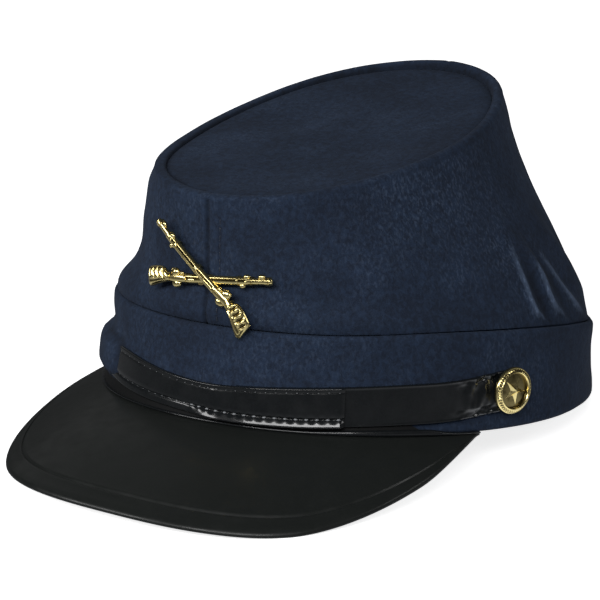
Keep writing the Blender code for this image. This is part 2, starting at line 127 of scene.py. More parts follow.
# %% [markdown]
# ## The head oval and the height of the band
# A head is longer than it is wide, so the rim is an oval. An angle runs round it from the centre
# front, positive towards the wearer's left. Hand-sewn heights are read from short tables, and a
# smooth curve through their rows keeps the edge free of corners.

# %% Oval and tables
def ease(share):
    """0 to 1 with soft ends; values outside are held."""
    share = min(max(share, 0.0), 1.0)
    return share * share * (3.0 - 2.0 * share)


def hill(value, middle, width):
    """1 in the middle of a smooth hill, and nearly 0 at twice its width."""
    return exp(-((value - middle) / width) ** 2)


def wrap(angle):
    """The same direction, between -180 and 180 degrees."""
    return (angle + 180.0) % 360.0 - 180.0


def along(rows, place):
    """Value in a table of (place, value) rows, on a smooth curve through them."""
    number = bisect.bisect([row[0] for row in rows], place) - 1
    number = min(max(number, 0), len(rows) - 2)

    def slope(row):
        before, after = rows[max(row - 1, 0)], rows[min(row + 1, len(rows) - 1)]
        level = row in (0, len(rows) - 1)
        return 0.0 if level else (after[1] - before[1]) / (after[0] - before[0])

    (left, low), (right, high) = rows[number], rows[number + 1]
    run = right - left
    share = min(max((place - left) / run, 0.0), 1.0)
    blend = ease(share)
    start = share * (1.0 - share) ** 2 * run * slope(number)
    end = -share ** 2 * (1.0 - share) * run * slope(number + 1)
    return low + (high - low) * blend + start + end


HALF_WIDTH, FRONT, REAR = 92.7, 97.8, 98.9


def oval(angle, out, half_width=HALF_WIDTH, front=FRONT, rear=REAR):
    """Point of an oval outline, moved outwards along its normal."""
    turn = radians(angle)
    length = front if cos(turn) > 0.0 else rear
    point = Vector((half_width * sin(turn), -length * cos(turn)))
    normal = Vector((sin(turn) / half_width, -cos(turn) / length)).normalized()
    return point + normal * out


BAND_HEIGHTS = ((-180, 31.0), (-126, 32.0), (-75, 35.0), (-30, 35.3), (0, 35.6), (30, 36.2),
                (58, 37.8), (82, 36.4), (105, 33.0), (130, 29.0), (180, 31.0))


def band_height(angle):
    return along(BAND_HEIGHTS, wrap(angle))


print("band height in front, left and behind:", [round(band_height(a), 1) for a in (0, 90, 180)])

# %% [markdown]
# ## Folds and the hand of the cloth
# Soft wool never lies as smooth as a drawing. Each fold is a small hill or valley on the wall:
# where it is, how wide and high it is, how it slants and how far it pushes. Under the folds a
# faint ripple stands for the hand of the felted cloth, a fraction of a millimetre high. On the
# wearer's right the cloth is pushed up and swells out over the strap as one flat-topped puff.

# %% Folds
Fold = namedtuple("Fold", "angle height half_width half_height slant push")
BAND_FOLDS = (
    Fold(-48, 13, 12, 10, 0.0, -1.0), Fold(-50, 23.5, 20, 5, 0.0, -1.5),
    Fold(-34.5, 20, 3, 4.5, 0.0, -1.0), Fold(-54, 35, 26, 13, 0.0, -1.4),
    Fold(112, 20, 16, 14, 0.0, 1.0), Fold(124, 29, 20, 6, 0.0, 1.0),
    Fold(127, 3, 13, 8, 0.0, 1.3))
PUFF = Fold(-47.7, 12.8, 17.5, 6.9, 0.10, 3.6)  # cloth swelling out over the strap
STEEP_ENDS, STEEP_EDGES = 8, 6  # the higher these powers, the flatter the puff's top
CROWN_FOLDS = (
    Fold(-62, 55, 40, 10, 0.0, -2.6), Fold(-58, 84, 40, 9, 0.0, 1.2),
    Fold(6, 48, 42, 13, 0.0, 1.2), Fold(120, 56, 80, 17, 0.0, 2.2),
    Fold(124, 42, 25, 12, 0.0, 1.8), Fold(120, 94, 80, 16, 0.0, -1.4),
    Fold(97.5, 56, 4, 15, -0.35, 1.5), Fold(106, 52, 4, 16, -0.50, -1.5),
    Fold(117, 56, 5, 17, -0.45, 1.5), Fold(165, 60, 9, 20, 0.2, -1.6),
    Fold(-128, 55, 9, 16, 0.4, -1.8))
# creases of the wall; the wool's mark also paints their ridges lighter as painted highlight
CREASES = (
    Fold(88.6, 50, 1.2, 13, 0.10, 1.1), Fold(90.6, 38, 1.4, 6, -0.38, 1.0),
    Fold(92.6, 48, 1.9, 12, 0.0, -1.4), Fold(96.6, 51, 1.4, 13, 0.0, 1.2),
    Fold(99.6, 39, 1.8, 6, -0.55, 0.9), Fold(100.4, 50, 2.2, 12, -0.18, -1.2),
    Fold(105.5, 50, 2.2, 13, -0.30, 1.1), Fold(111, 39, 2.4, 7, -0.60, 0.8),
    Fold(124, 55, 3.0, 15, -0.40, -0.9), Fold(-118, 52, 3.0, 14, 0.45, 0.8),
    Fold(-136, 50, 3.0, 13, 0.50, -0.8))
WEAR_AND_SHEEN = (  # where the nap is painted paler, as wear with a painted sheen; push is how much
    Fold(80, 95, 25, 18, 0.0, 0.35), Fold(86, 62, 9, 10, 0.0, 0.35),
    Fold(62, 76, 20, 16, 0.0, 0.22), Fold(20, 58, 30, 14, 0.0, 0.05))


def folded(folds, angle, height):
    """How far the folds push the wall out at this angle and height."""
    total = 0.0
    for fold in folds:
        middle = fold.angle + fold.slant * (height - fold.height)
        across = wrap(angle - middle) / fold.half_width
        up = (height - fold.height) / fold.half_height
        total += fold.push * exp(-across * across - up * up)
    return total


def puff_reach(angle, height):
    """0 in the middle of the puff, 1 on its outline, more outside."""
    middle = PUFF.angle + PUFF.slant * (height - PUFF.height)
    across = abs(wrap(angle - middle)) / PUFF.half_width
    up = abs(height - PUFF.height) / PUFF.half_height
    return across ** STEEP_ENDS + up ** STEEP_EDGES


def puffed(angle, height):
    """The puff is a flat-topped lobe with a steep front, unlike the rounder folds."""
    return PUFF.push * exp(-min(puff_reach(angle, height), 50.0))


RIPPLE = 0.22  # mm, height of the cloth's ripple
RIPPLE_LONG, RIPPLE_SHORT = 17.0, 6.0  # mm, its two wavelengths


def ripple(point):
    """Unevenness of felted cloth at a point."""
    return RIPPLE * (noise.noise(point / RIPPLE_LONG) + 0.4 * noise.noise(point / RIPPLE_SHORT))


print("folds of the band, and of the wall:", len(BAND_FOLDS), len(CROWN_FOLDS) + len(CREASES))

# %% [markdown]
# ## Finishes
# Each finish starts from what the real one is. One function turns an sRGB hex colour, as read
# from a colour chart, to linear light. The others each add a node and hand back its output, so
# a finish reads like a sum. A pattern's scale is worked out from its real size in millimetres.

# %% Colour and node helpers
def linear(hex_colour):
    """An sRGB hex colour as linear red, green, blue and alpha."""
    parts = [int(hex_colour[start:start + 2], 16) / 255.0 for start in (1, 3, 5)]
    return tuple(part / 12.92 if part <= 0.04045 else ((part + 0.055) / 1.055) ** 2.4
                 for part in parts) + (1.0,)


def per_mm(size):
    """Pattern scale for Object coordinates in metres, from a real size in millimetres."""
    return 1.0 / (size * MM)


def feed(node, inputs):
    """Set each input of a node to a value, or link it to another node's output."""
    for key, value in inputs.items():
        if isinstance(value, bpy.types.NodeSocket):
            node.id_data.links.new(value, node.inputs[key])
        else:
            node.inputs[key].default_value = value


def add_node(tree, kind, output, inputs, **settings):
    """Add a node and return its output."""
    node = tree.nodes.new(kind)
    for key, value in settings.items():
        setattr(node, key, value)
    feed(node, inputs)
    return node.outputs[output]


def pattern(place, size, detail, roughness=0.5, distortion=0.0):
    """Noise whose features are so many millimetres wide."""
    return add_node(place.id_data, "ShaderNodeTexNoise", "Fac", {
        "Vector": place, "Scale": per_mm(size), "Detail": detail, "Roughness": roughness,
        "Distortion": distortion})


def stretch(value, low, high, to_low=0.0, to_high=1.0):
    """Map the range from low to high onto another one, held at its ends."""
    return add_node(value.id_data, "ShaderNodeMapRange", "Result", {
        "Value": value, "From Min": low, "From Max": high, "To Min": to_low, "To Max": to_high})


def calculate(operation, *inputs, use_clamp=False):
    """A sum with up to three inputs, the first of them another node's output."""
    return add_node(inputs[0].id_data, "ShaderNodeMath", "Value", dict(enumerate(inputs)),
                    operation=operation, use_clamp=use_clamp)


def blend(share, low, high, data_type="RGBA"):
    """Mix of two colours, or of two numbers if the data type is FLOAT."""
    first, output = (6, 2) if data_type == "RGBA" else (2, 0)
    return add_node(share.id_data, "ShaderNodeMix", output,
                    {0: share, first: low, first + 1: high}, data_type=data_type)


def bump(height, strength, distance, below=None):
    """Relief so many millimetres high, laid over the relief below it."""
    inputs = {"Height": height, "Strength": strength, "Distance": distance * MM}
    if below:
        inputs["Normal"] = below
    return add_node(height.id_data, "ShaderNodeBump", "Normal", inputs)


def named_value(tree, name):
    """A value that the mesh carries at each vertex."""
    return add_node(tree, "ShaderNodeAttribute", "Fac", {}, attribute_name=name)


def new_finish(name, values):
    """A material with constant values on its Principled shader; returns the shader too."""
    finish = bpy.data.materials.new(name)
    finish.use_nodes = True
    shader = finish.node_tree.nodes["Principled BSDF"]
    feed(shader, values)
    return finish, shader


def on_object(finish):
    """Object coordinates, in metres, for a finish's patterns."""
    return add_node(finish.node_tree, "ShaderNodeTexCoord", "Object", {})


# %% [markdown]
# ## Melton wool
# The cloth is melton: wool woven in a twill, fulled until the weave shuts and then brushed, so
# the eye meets a matt nap of tangled fibres and no threads. It scatters light almost evenly,
# with a pale fuzz where it is seen edge-on, which is the shader's sheen. Single fibres are
# 0.02 mm thick, far below a pixel, so the clumps they make, about half a millimetre, are drawn.

# %% Navy wool finish
# the third colour is the pale of brushed nap and of the painted highlight on crease ridges
WOOL_LIT, WOOL_DEEP, WOOL_PALE_AND_HIGHLIGHT, WOOL_FUZZ = "#1C293D", "#111A29", "#55647C", "#5C6C86"
# mm: fibre clumps, brushed tufts, combed streaks and broad shading
CLUMP, TUFT, STREAK, SHADE = 0.55, 2.2, 1.0, 26.0


def navy_wool():
    """Wool; its mark paints wear and painted highlight above 0, painted shade below."""
    finish, shader = new_finish("navy_melton_wool", {
        "Roughness": 0.92, "IOR": 1.50, "Specular IOR Level": 0.25, "Sheen Weight": 0.08,
        "Sheen Roughness": 0.45, "Sheen Tint": linear(WOOL_FUZZ)})
    place = on_object(finish)
    clump = pattern(place, CLUMP, 4.0, roughness=0.62)
    tuft = pattern(place, TUFT, 3.0, roughness=0.55, distortion=0.6)
    shade = pattern(place, SHADE, 2.0)
    nap = calculate("MULTIPLY_ADD", clump, 0.55, tuft)
    uneven = calculate("MULTIPLY_ADD", shade, 0.5, nap)
    colour = blend(stretch(uneven, 0.86, 1.24), linear(WOOL_DEEP), linear(WOOL_LIT))
    combed = add_node(finish.node_tree, "ShaderNodeMapping", "Vector",
                      {"Vector": place, "Scale": (1.0, 1.0, 0.5)})
    streak = stretch(pattern(combed, STREAK, 3.0, distortion=0.4), 0.48, 0.72)
    patch = stretch(shade, 0.45, 0.70, to_low=0.15)
    # the mesh's mark: wear and painted highlight above 0, painted shade below 0
    wear_and_painted_light = named_value(finish.node_tree, "wear_and_painted_light")
    nap_wear_and_sheen = calculate("MULTIPLY_ADD", wear_and_painted_light, 2.5, patch)
    brushed_nap_and_sheen = calculate("MULTIPLY", streak, nap_wear_and_sheen)
    # below 0 the mark darkens the colour as painted shade; high marks paint ridges as highlight
    valley = stretch(wear_and_painted_light, -1.2, 0.0, to_low=0.5)
    ridge_painted_highlight = stretch(wear_and_painted_light, 0.42, 1.35, to_high=0.68)
    lift = calculate("MULTIPLY_ADD", brushed_nap_and_sheen, 0.20, ridge_painted_highlight, use_clamp=True)
    colour_with_painted_shade = add_node(finish.node_tree, "ShaderNodeVectorMath", "Vector",
                      {0: colour, "Scale": valley}, operation="SCALE")
    soft = bump(tuft, 0.5, 0.30)
    feed(shader, {"Base Color": blend(lift, colour_with_painted_shade, linear(WOOL_PALE_AND_HIGHLIGHT)),
                  "Normal": bump(clump, 0.6, 0.16, below=soft)})
    return finish


WOOL = navy_wool()
print("wool clumps per metre:", round(per_mm(CLUMP)))

# %% [markdown]
# ## Patent leather cloth
# Peak and straps are patent leather cloth: a woven back under a thick black vinyl skin that is
# pressed against a polished roll. It is a dark body under a clear, mirror-like surface, so the
# shader gets a coat. The skin is never quite flat, and a shallow swell of a few millimetres
# breaks its reflections as the backing does; handling leaves it a little hazy in places.

# %% Patent finish
SWELL, PRINT_THROUGH = 7.0, 0.9  # mm: slow waviness, backing cloth showing through
HAZE = 0.14  # roughness that handling adds


def patent(name, roughness, coat, swell_height, black, hazy):
    finish, shader = new_finish(name, {
        "IOR": 1.52, "Specular IOR Level": 0.20, "Coat Weight": coat, "Coat Roughness": 0.06,
        "Coat IOR": 1.5})
    place = on_object(finish)
    swell = pattern(place, SWELL, 2.0)
    weave = pattern(place, PRINT_THROUGH, 3.0)
    fine = bump(weave, 0.3, 0.02, below=bump(swell, 0.5, swell_height))
    feed(shader, {"Roughness": stretch(swell, 0.35, 0.7, roughness, roughness + HAZE),
                  "Base Color": blend(weave, linear(black), linear(hazy)),
                  "Normal": fine, "Coat Normal": fine})
    return finish


PEAK_PATENT = patent("black_patent_peak", 0.30, 0.04, 0.05, "#161817", "#1D1F1E")
# near-black and matt: painted shade for the welt's flange under the strap
FLANGE_PAINTED_SHADE = patent("flange_painted_shade_black", 0.60, 0.0, 0.05, "#060708", "#0A0B0C")
STRAP_PATENT = patent("black_patent_strap", 0.22, 0.50, 0.06, "#0C0D0E", "#15181A")
print("patent swell and weave, mm:", SWELL, PRINT_THROUGH)

# %% [markdown]
# ## Brass and thread
# The buttons and the badge are die-struck or cast brass, gilded and buffed: a metal, so its
# colour is its reflection, and the default IOR stays. Buffing reaches the high places only, so
# the roughness wanders and the hollows keep a browner tarnish. The thread is bonded polyester:
# navy in the wool, and black in the strap, where it is coloured a light grey as a painted
# highlight for the glints where its turns catch the light.

# %% Brass and thread finishes
BRASS_BRIGHT, BRASS_TARNISH = "#DCCA8C", "#2C220A"
CAST_GRAIN, TARNISH_PATCH, THREAD_PLY = 0.8, 4.0, 0.3  # mm


def gilt_brass():
    """Brass; its mesh's mark says how deep in a hollow a vertex lies."""
    finish, shader = new_finish("gilt_brass", {"Metallic": 1.0})
    place = on_object(finish)
    grain = pattern(place, CAST_GRAIN, 4.0)
    patchy = stretch(pattern(place, TARNISH_PATCH, 3.0), 0.50, 0.85, to_high=0.5)
    dull = calculate("ADD", patchy, named_value(finish.node_tree, "hollow"), use_clamp=True)
    feed(shader, {"Base Color": blend(dull, linear(BRASS_BRIGHT), linear(BRASS_TARNISH)),
                  "Roughness": stretch(grain, 0.0, 1.0, 0.14, 0.28),
                  "Normal": bump(grain, 0.25, 0.05)})
    return finish


def thread(name, colour):
    finish, shader = new_finish(name, {
        "Base Color": linear(colour), "Roughness": 0.42, "Sheen Weight": 0.1})
    ply = pattern(on_object(finish), THREAD_PLY, 2.0)
    feed(shader, {"Normal": bump(ply, 0.5, 0.04)})
    return finish


BRASS = gilt_brass()
# light grey: painted highlight for the glints on the strap's black thread
STRAP_THREAD_PAINTED_GLINT = thread("strap_thread_painted_glint", "#74777A")
NAVY_THREAD = thread("navy_thread", "#131C2B")
print("finishes:", ", ".join(finish.name for finish in bpy.data.materials))

# %% [markdown]
# ## The band
# The band is a cuff: one strip folded double, so both edges are round folds and the wall is
# 3.4 mm thick. Its section is a flat loop with rounded ends, carried round the head oval. The
# ring is closed, so here the cylinder's sides run round the head and its cuts round the section.
# The rear of its lower fold is pressed flat where the cap's weight rests on the table.

# %% Band
BAND_WALL, BAND_LEAN, REST_FLAT = 3.4, 1.3, 0.8
AROUND = 360  # stations round the head, one a degree
DEEP_SHADE = 1.3  # strength of the painted shade where light hardly reaches
EVEN = 0.14  # the power that makes the puff's steep reach grow evenly again
SHADE_LINE, SHADE_WIDTH = 1.03, 0.10  # where the shade beside the puff lies on that even reach


def band_point(angle, height, out):
    """Point of the band's outer face at a height, moved outwards."""
    share = height / band_height(angle)
    push = folded(BAND_FOLDS, angle, height)
    flat = oval(angle, out + push - BAND_LEAN * share)
    return Vector((flat.x, flat.y, height))


def cuff_section():
    """(share of the height, rise in mm, depth in mm) round the folded strip."""
    radius = BAND_WALL / 2.0
    turns = [pi * step / 8.0 for step in range(1, 8)]
    outer = [(step / 24.0, radius * (1.0 - step / 12.0), 0.0) for step in range(25)]
    fold = [(1.0, -radius * (1.0 - sin(turn)), radius * (1.0 - cos(turn)))
            for turn in turns]
    inner = [(share, radius * (1.0 - 2.0 * share), BAND_WALL)
             for share in (1.0, 0.8, 0.6, 0.4, 0.2, 0.0)]
    hem = [(0.0, radius * (1.0 - sin(turn)), radius * (1.0 + cos(turn)))
           for turn in turns]
    return outer + fold + inner + hem


CUFF = cuff_section()


def place_band(side, station):
    share, rise, depth = CUFF[station % len(CUFF)]
    angle = side * 360.0 / AROUND
    height = share * band_height(angle) + rise
    point = band_point(angle, height, -depth)
    surface = 1.0 - depth / BAND_WALL
    puff = puffed(wrap(angle), height)
    point = band_point(angle, height, -depth + surface * (puff + ripple(point)))
    floor = REST_FLAT - (REAR - point.y) * tan(LEAN_BACK)
    point.z = max(point.z, floor)
    return point


def fold_shade(side, station):
    """Painted shade in the deep fold beside the puff, where light hardly reaches."""
    share, rise, depth = CUFF[station % len(CUFF)]
    angle = wrap(side * 360.0 / AROUND)
    if depth > 0.0 or not PUFF.angle < angle < 0.0:
        return 0.0
    reach = puff_reach(angle, share * band_height(angle) + rise) ** EVEN
    return -DEEP_SHADE * hill(reach, SHADE_LINE, SHADE_WIDTH)


# the band's mark is painted shade in the fold beside the puff
band_mesh = sweep(AROUND, len(CUFF) + 1, place_band, capped=False, mark="wear_and_painted_light",
                  amount=fold_shade)
finish_piece("band", band_mesh, WOOL, ["band"])

# %% [markdown]
# ## The wall panels and the rolled ring
# Two panels make the wall, sewn together at the centre front and rear. At the top each panel
# rolls over a cord and down to the oval top, and this roll is the ring that stands round the
# disc. One closed section does all of it: up the outside, over the roll and down the inside. At
# the seams the cloth turns in, which leaves the fine dark line that the eye reads as a seam,
# and beside the front one a row of stitches holds the seam's spare cloth flat. Low down the wall
# laps out over the band's edge. The mark paints the nap: paler on the creases' ridges as painted
# highlight, and where it is pale from wear with a painted sheen; darker as painted shade in the
# creases' valleys, by the front seam and its stitches, and on the ring beside the disc.

# %% Wall panels
CLOTH, TUCK = 2.3, 8.0
OVERLAP = (Fold(-48, 3.3, 48, 6, 0.0, 3.0), Fold(35, 3.0, 48, 6, 0.0, 3.2),
           Fold(126, 4.0, 22, 8, 0.0, 2.2))
OVERLAP_RISE = 0.35  # mm above the band's edge
DISC_HALF_WIDTH, DISC_HALF_LENGTH, DISC_TILT = 53.3, 78.1, radians(12.8)
DISC_CENTRE = Vector((0.8, -17.3, 101.1))
DISC_CLOTH, RING_WIDTH = 2.4, 4.6
DISC_REACH = ((-180, 0.0), (-80, 0.0), (-48, 2.0), (-15, 0.0), (90, 0.0), (125, -1.8),
              (160, -0.6), (180, 0.0))     # how far the hand-sewn oval departs outwards
RIGHT_SAG = Fold(-88, 0, 38, 1, 0.0, 2.4)  # the oval hangs a little on the wearer's right
LIP_FRONT, LIP_REAR, LIP_SAG = 1.3, 3.1, 1.5
SEAM_TURN_IN, SEAM_SOFT = 0.9, 0.8  # mm: how deep and how wide the seam's valley is
TOPSTITCH, DENT, DENT_WIDTH = 5.5, 0.22, 0.55  # mm from the front seam, depth and width
SEAM_PUFF, SEAM_PUFF_WIDTH = 0.20, 1.6  # mm that the spare cloth between the two stands out
RING_SHADE, SHADE_FROM, SHADE_RUN = 1.2, 7.0, 4.0  # painted shade on the roll's last steps, by the disc
CALM_ENDS, CREASE_START = 6.0, 14.0  # folds set in over 1/6 of the wall's height, creases 1/14


def disc_point(angle, inset, rise):
    """Point in the tilted frame of the top disc; inset runs inwards from the ring's outside."""
    length = DISC_HALF_LENGTH + RING_WIDTH
    reach = along(DISC_REACH, wrap(angle)) - inset
    flat = oval(angle, reach, DISC_HALF_WIDTH + RING_WIDTH, length, length)
    rise -= folded((RIGHT_SAG,), angle, 0.0)
    return DISC_CENTRE + Matrix.Rotation(DISC_TILT, 3, "X") @ Vector((flat.x, flat.y, rise))


def lip(angle):
    """Height of the rolled ring above the disc."""
    turn = radians(angle)
    rise = (LIP_REAR - LIP_FRONT) * (0.5 - 0.5 * cos(turn))
    return LIP_FRONT + rise - LIP_SAG * max(-sin(turn), 0.0)


def seam_press(x, angle):
    """How far sewing draws the wall in at a distance x from the centre seams."""
    valley = SEAM_TURN_IN * hill(x, 0.0, SEAM_SOFT)
    if abs(wrap(angle)) < 30.0:
        valley += DENT * hill(x, TOPSTITCH, DENT_WIDTH)
        valley -= SEAM_PUFF * hill(x, 0.5 * TOPSTITCH, SEAM_PUFF_WIDTH)
    return valley


def wall_point(angle, share, depth):
    """Point of the wall: share 0 at the band's upper edge, 1 at the disc's height."""
    start_height = band_height(angle)
    if share <= 0.0:
        return band_point(angle, start_height + TUCK * share, -BAND_WALL - GAP - depth)
    low = band_point(angle, start_height, -BAND_WALL - GAP)
    high = disc_point(angle, 0.0, 0.0)
    height = start_height + (high.z - start_height) * share
    calm = ease(CALM_ENDS * share) * ease(CALM_ENDS * (1.0 - share))
    push = folded(CROWN_FOLDS, angle, height) * calm
    push += (folded(CREASES, angle, height) * ease(CREASE_START * share)
             * ease(CALM_ENDS * (1.0 - share)))
    above = height - start_height
    push += folded(OVERLAP, angle, above) * ease(above / OVERLAP_RISE)
    flat = low.lerp(high, share).xy
    push += ripple(Vector((flat.x, flat.y, height))) * calm - seam_press(flat.x, angle)
    flat += (oval(angle, 1.0) - oval(angle, 0.0)) * (push - depth)
    return Vector((flat.x, flat.y, height))


def wall_at(angle, height, depth=0.0):
    """Point of the wall's outer face at an angle and a height above the rim."""
    low, high = band_height(angle), disc_point(angle, 0.0, 0.0).z
    return wall_point(angle, (height - low) / (high - low), depth)


OUTER_SHARES = [-1.0, -0.1, 0.0012, 0.0025, 0.004, 0.006, 0.012, 0.025, 0.04, 0.06, 0.08]
OUTER_SHARES += [0.10 + 0.84 * step / 34.0 for step in range(35)] + [0.955, 0.97, 0.985]
ROLL_STEPS, ROLL_LEAST, ROLL_END = 12, 0.9, 0.6  # mm: its least height, and its end's depth
ROLL_FULLNESS, ROLL_RIPPLE, ROLL_SEAM = 0.8, 0.6, 0.25  # how square, how uneven, how dented
INNER_SHARES = [0.93, 0.85, 0.75, 0.65, 0.55, 0.45, 0.35, 0.25, 0.15, 0.07, -0.1, -1.0]


def ring_point(angle, step):
    """Point of the roll: from the wall's top over to the disc's edge, and down beside it."""
    width, height = RING_WIDTH - 0.1, max(lip(angle), ROLL_LEAST)
    turn = pi * step / ROLL_STEPS
    inset = 0.5 * width * (1.0 - cos(turn))
    rise = height * sin(turn) ** ROLL_FULLNESS - (ROLL_END if step == ROLL_STEPS else 0.0)
    point = disc_point(angle, inset, rise)
    point.z += ROLL_RIPPLE * ripple(point) * sin(turn)
    point.z -= ROLL_SEAM * hill(point.x, 0.0, SEAM_SOFT) * sin(turn)
    return point


def seam_angles(start, end):
    """Stations of a panel: close together by the seams, where the cloth turns in."""
    near = [0.0, 0.15, 0.3, 0.5, 0.7, 0.9, 1.15, 1.4, 1.7, 2.0, 2.3, 2.6, 2.9, 3.2, 3.5, 3.8,
            4.1, 4.4, 4.7, 5.0, 5.3, 5.6, 5.9, 6.3, 6.8, 7.4, 8.2]
    margin, plain = 9.0, 260
    first = [start + angle for angle in near]
    middle = [start + margin + (end - start - 2.0 * margin) * step / plain
              for step in range(plain + 1)]
    return first + middle + [end - angle for angle in reversed(near)]


def make_panel(name, start, end):
    angles = seam_angles(start, end)
    roll_start = len(OUTER_SHARES)
    inner_start = roll_start + ROLL_STEPS + 1

    def place(side, station):
        angle = angles[station]
        if side < roll_start:
            return wall_point(angle, OUTER_SHARES[side], 0.0)
        if side < inner_start:
            return ring_point(angle, side - roll_start)
        if side == inner_start:
            return disc_point(angle, RING_WIDTH - GAP, -DISC_CLOTH - 0.4)
        return wall_point(angle, INNER_SHARES[side - inner_start - 1], CLOTH)

    def wear_and_painted_light(side, station):
        if side >= inner_start:
            return 0.0
        if side >= roll_start:                 # painted shade where the ring turns down by the disc
            return -RING_SHADE * ease((side - roll_start - SHADE_FROM) / SHADE_RUN)
        angle, share = angles[station], OUTER_SHARES[side]
        low, high = band_height(angle), disc_point(angle, 0.0, 0.0).z
        height = low + (high - low) * share
        # crease ridges are painted lighter as highlight, their valleys darker as painted shade
        mark = folded(CREASES, angle, height) * ease(CREASE_START * share)
        if abs(wrap(angle)) < 12.0:            # painted shade on the front seam and the stitches' dent
            x = wall_point(angle, share, 0.0).x
            mark -= hill(x, 0.0, 0.9) + 0.5 * hill(x, TOPSTITCH, 0.7)
        # plus the paler nap: wear with a painted sheen
        return mark + folded(WEAR_AND_SHEEN, angle, height)

    mesh = sweep(inner_start + 1 + len(INNER_SHARES), len(angles), place, mark="wear_and_painted_light",
                 amount=wear_and_painted_light)
    bmesh.ops.triangulate(mesh, faces=[face for face in mesh.faces if len(face.verts) > 4])
    finish_piece(name, mesh, WOOL, [name])


HAIR = 0.03  # degrees from the seam's middle to a panel's edge
make_panel("crown_panel_left", HAIR, 180.0 - HAIR)
make_panel("crown_panel_right", -180.0 + HAIR, -HAIR)

# %% [markdown]
# ## The oval top
# The top is a flat oval of the same cloth. Sewn into the ring, its edge dips all round, and it
# isn't drum-tight: it sags a little towards its middle. A cylinder whose cuts are drawn in to
# the middle gives rings of quads that follow the oval, and the crease beside the ring is painted
# dark as shade, because little light falls into it.

# %% Top disc
DISC_SAG, EDGE_DIP, DIP_WIDTH = 0.8, 0.9, 1.6  # mm
DISC_RADIUS = 60.0  # mm, of a round disc much as large as the oval
UNDER_RING, DISC_RIPPLE = 0.35, 2.2  # mm that its edge lies under the ring; times the wall's
DISC_RINGS = [1.0, 0.995, 0.985, 0.97, 0.95, 0.92, 0.88, 0.83, 0.76, 0.68, 0.58, 0.46, 0.32,
              0.16, 0.0]


def place_disc(side, station):
    angle = side * 360.0 / AROUND
    under = station < 2
    share = (0.0, 1.0)[station] if under else DISC_RINGS[station - 2]
    edge = disc_point(angle, RING_WIDTH - UNDER_RING, 0.0)
    centre = disc_point(0.0, 0.0, 0.0).lerp(disc_point(180.0, 0.0, 0.0), 0.5)
    point = centre.lerp(edge, share)
    if under:
        rise = -DISC_CLOTH
    else:
        away = (1.0 - share) * (point - centre).length + (1.0 - share) * DISC_RADIUS
        rise = -EDGE_DIP * exp(-away / DIP_WIDTH) - DISC_SAG * (1.0 - share ** 2)
        rise += DISC_RIPPLE * ripple(point) * (1.0 - share ** 6)
    return point + Matrix.Rotation(DISC_TILT, 3, "X") @ Vector((0.0, 0.0, rise))


def crease_shade(side, station):
    """Painted shade in the crease beside the ring."""
    share = 0.0 if station < 2 else DISC_RINGS[station - 2]
    return -DEEP_SHADE * exp(-(1.0 - share) * DISC_RADIUS / DIP_WIDTH)


# the disc's mark is painted shade in the crease by the ring
disc_mesh = sweep(AROUND, len(DISC_RINGS) + 2, place_disc, capped=False, mark="wear_and_painted_light",
                  amount=crease_shade)
finish_piece("crown_top", disc_mesh, WOOL, ["crown_top"])

# %% [markdown]
# ## The peak
# The peak is pressed in a hot mould: a thin board inside, patent cloth outside, a round outer
# edge and one pressed line that runs along it. Its section goes out over the top, round the
# edge and back underneath, from one corner to the other. The rows near the edge are set by
# their distance from it, so that the pressed line keeps its distance as a mould's line does;
# the strip outside that line slopes a little. A hand has bent the whole, up on the wearer's
# right and down on the left, and the board thins towards the corners.

# %% Peak
PEAK_WALL, PEAK_ANGLE, PEAK_HALF_WIDTH = 2.0, 69.5, 89.3
PEAK_LEFT_ANGLE, PEAK_LEFT_PULL = 67.2, 2.6  # its left corner sits a little further forward
PEAK_BASE, PEAK_REACH, PEAK_TAIL = -40.1, 108.9, 5.0
PEAK_SQUARENESS, PEAK_DROP, PEAK_SIDE_DROP, PEAK_CORNER_RISE = 2.62, 24.8, 5.7, 10.4
PEAK_ARCH, PEAK_UNDER, PEAK_LAP, PEAK_SWEEP = 1.6, 2.9, 0.6, 89.7
PEAK_BENDS = ((-0.63, 0.50, -2.5), (0.68, 0.16, 0.4))  # place, width and fall of the hand's bends
DROP_REACH, DROP_POWER = 1.25, 1.52  # how soon the edge falls away from the corners
CORNER_FADE, TAIL_FADE = 3.0, 4.0  # how soon the corner's draw-in and its tail fade
THIN_CORNER, THIN_RUN = 0.3, 14.0  # share of the wall left there, degrees it takes
RIM_FALL = 0.7  # mm that the strip outside the pressed line slopes
PRESSED_LINE, PRESSED_WIDTH, PRESSED_DEPTH = 7.0, 0.55, 0.55  # mm from the edge
RIM_BEAD, PEAK_WAVE, WAVE_LONG = 0.25, 0.12, 40.0  # mm: proud outer edge, unevenness, its length


def peak_attach(turn):
    """Angle round the band where the peak's line of this turn starts."""
    return turn / PEAK_SWEEP * (PEAK_LEFT_ANGLE if turn > 0.0 else PEAK_ANGLE)


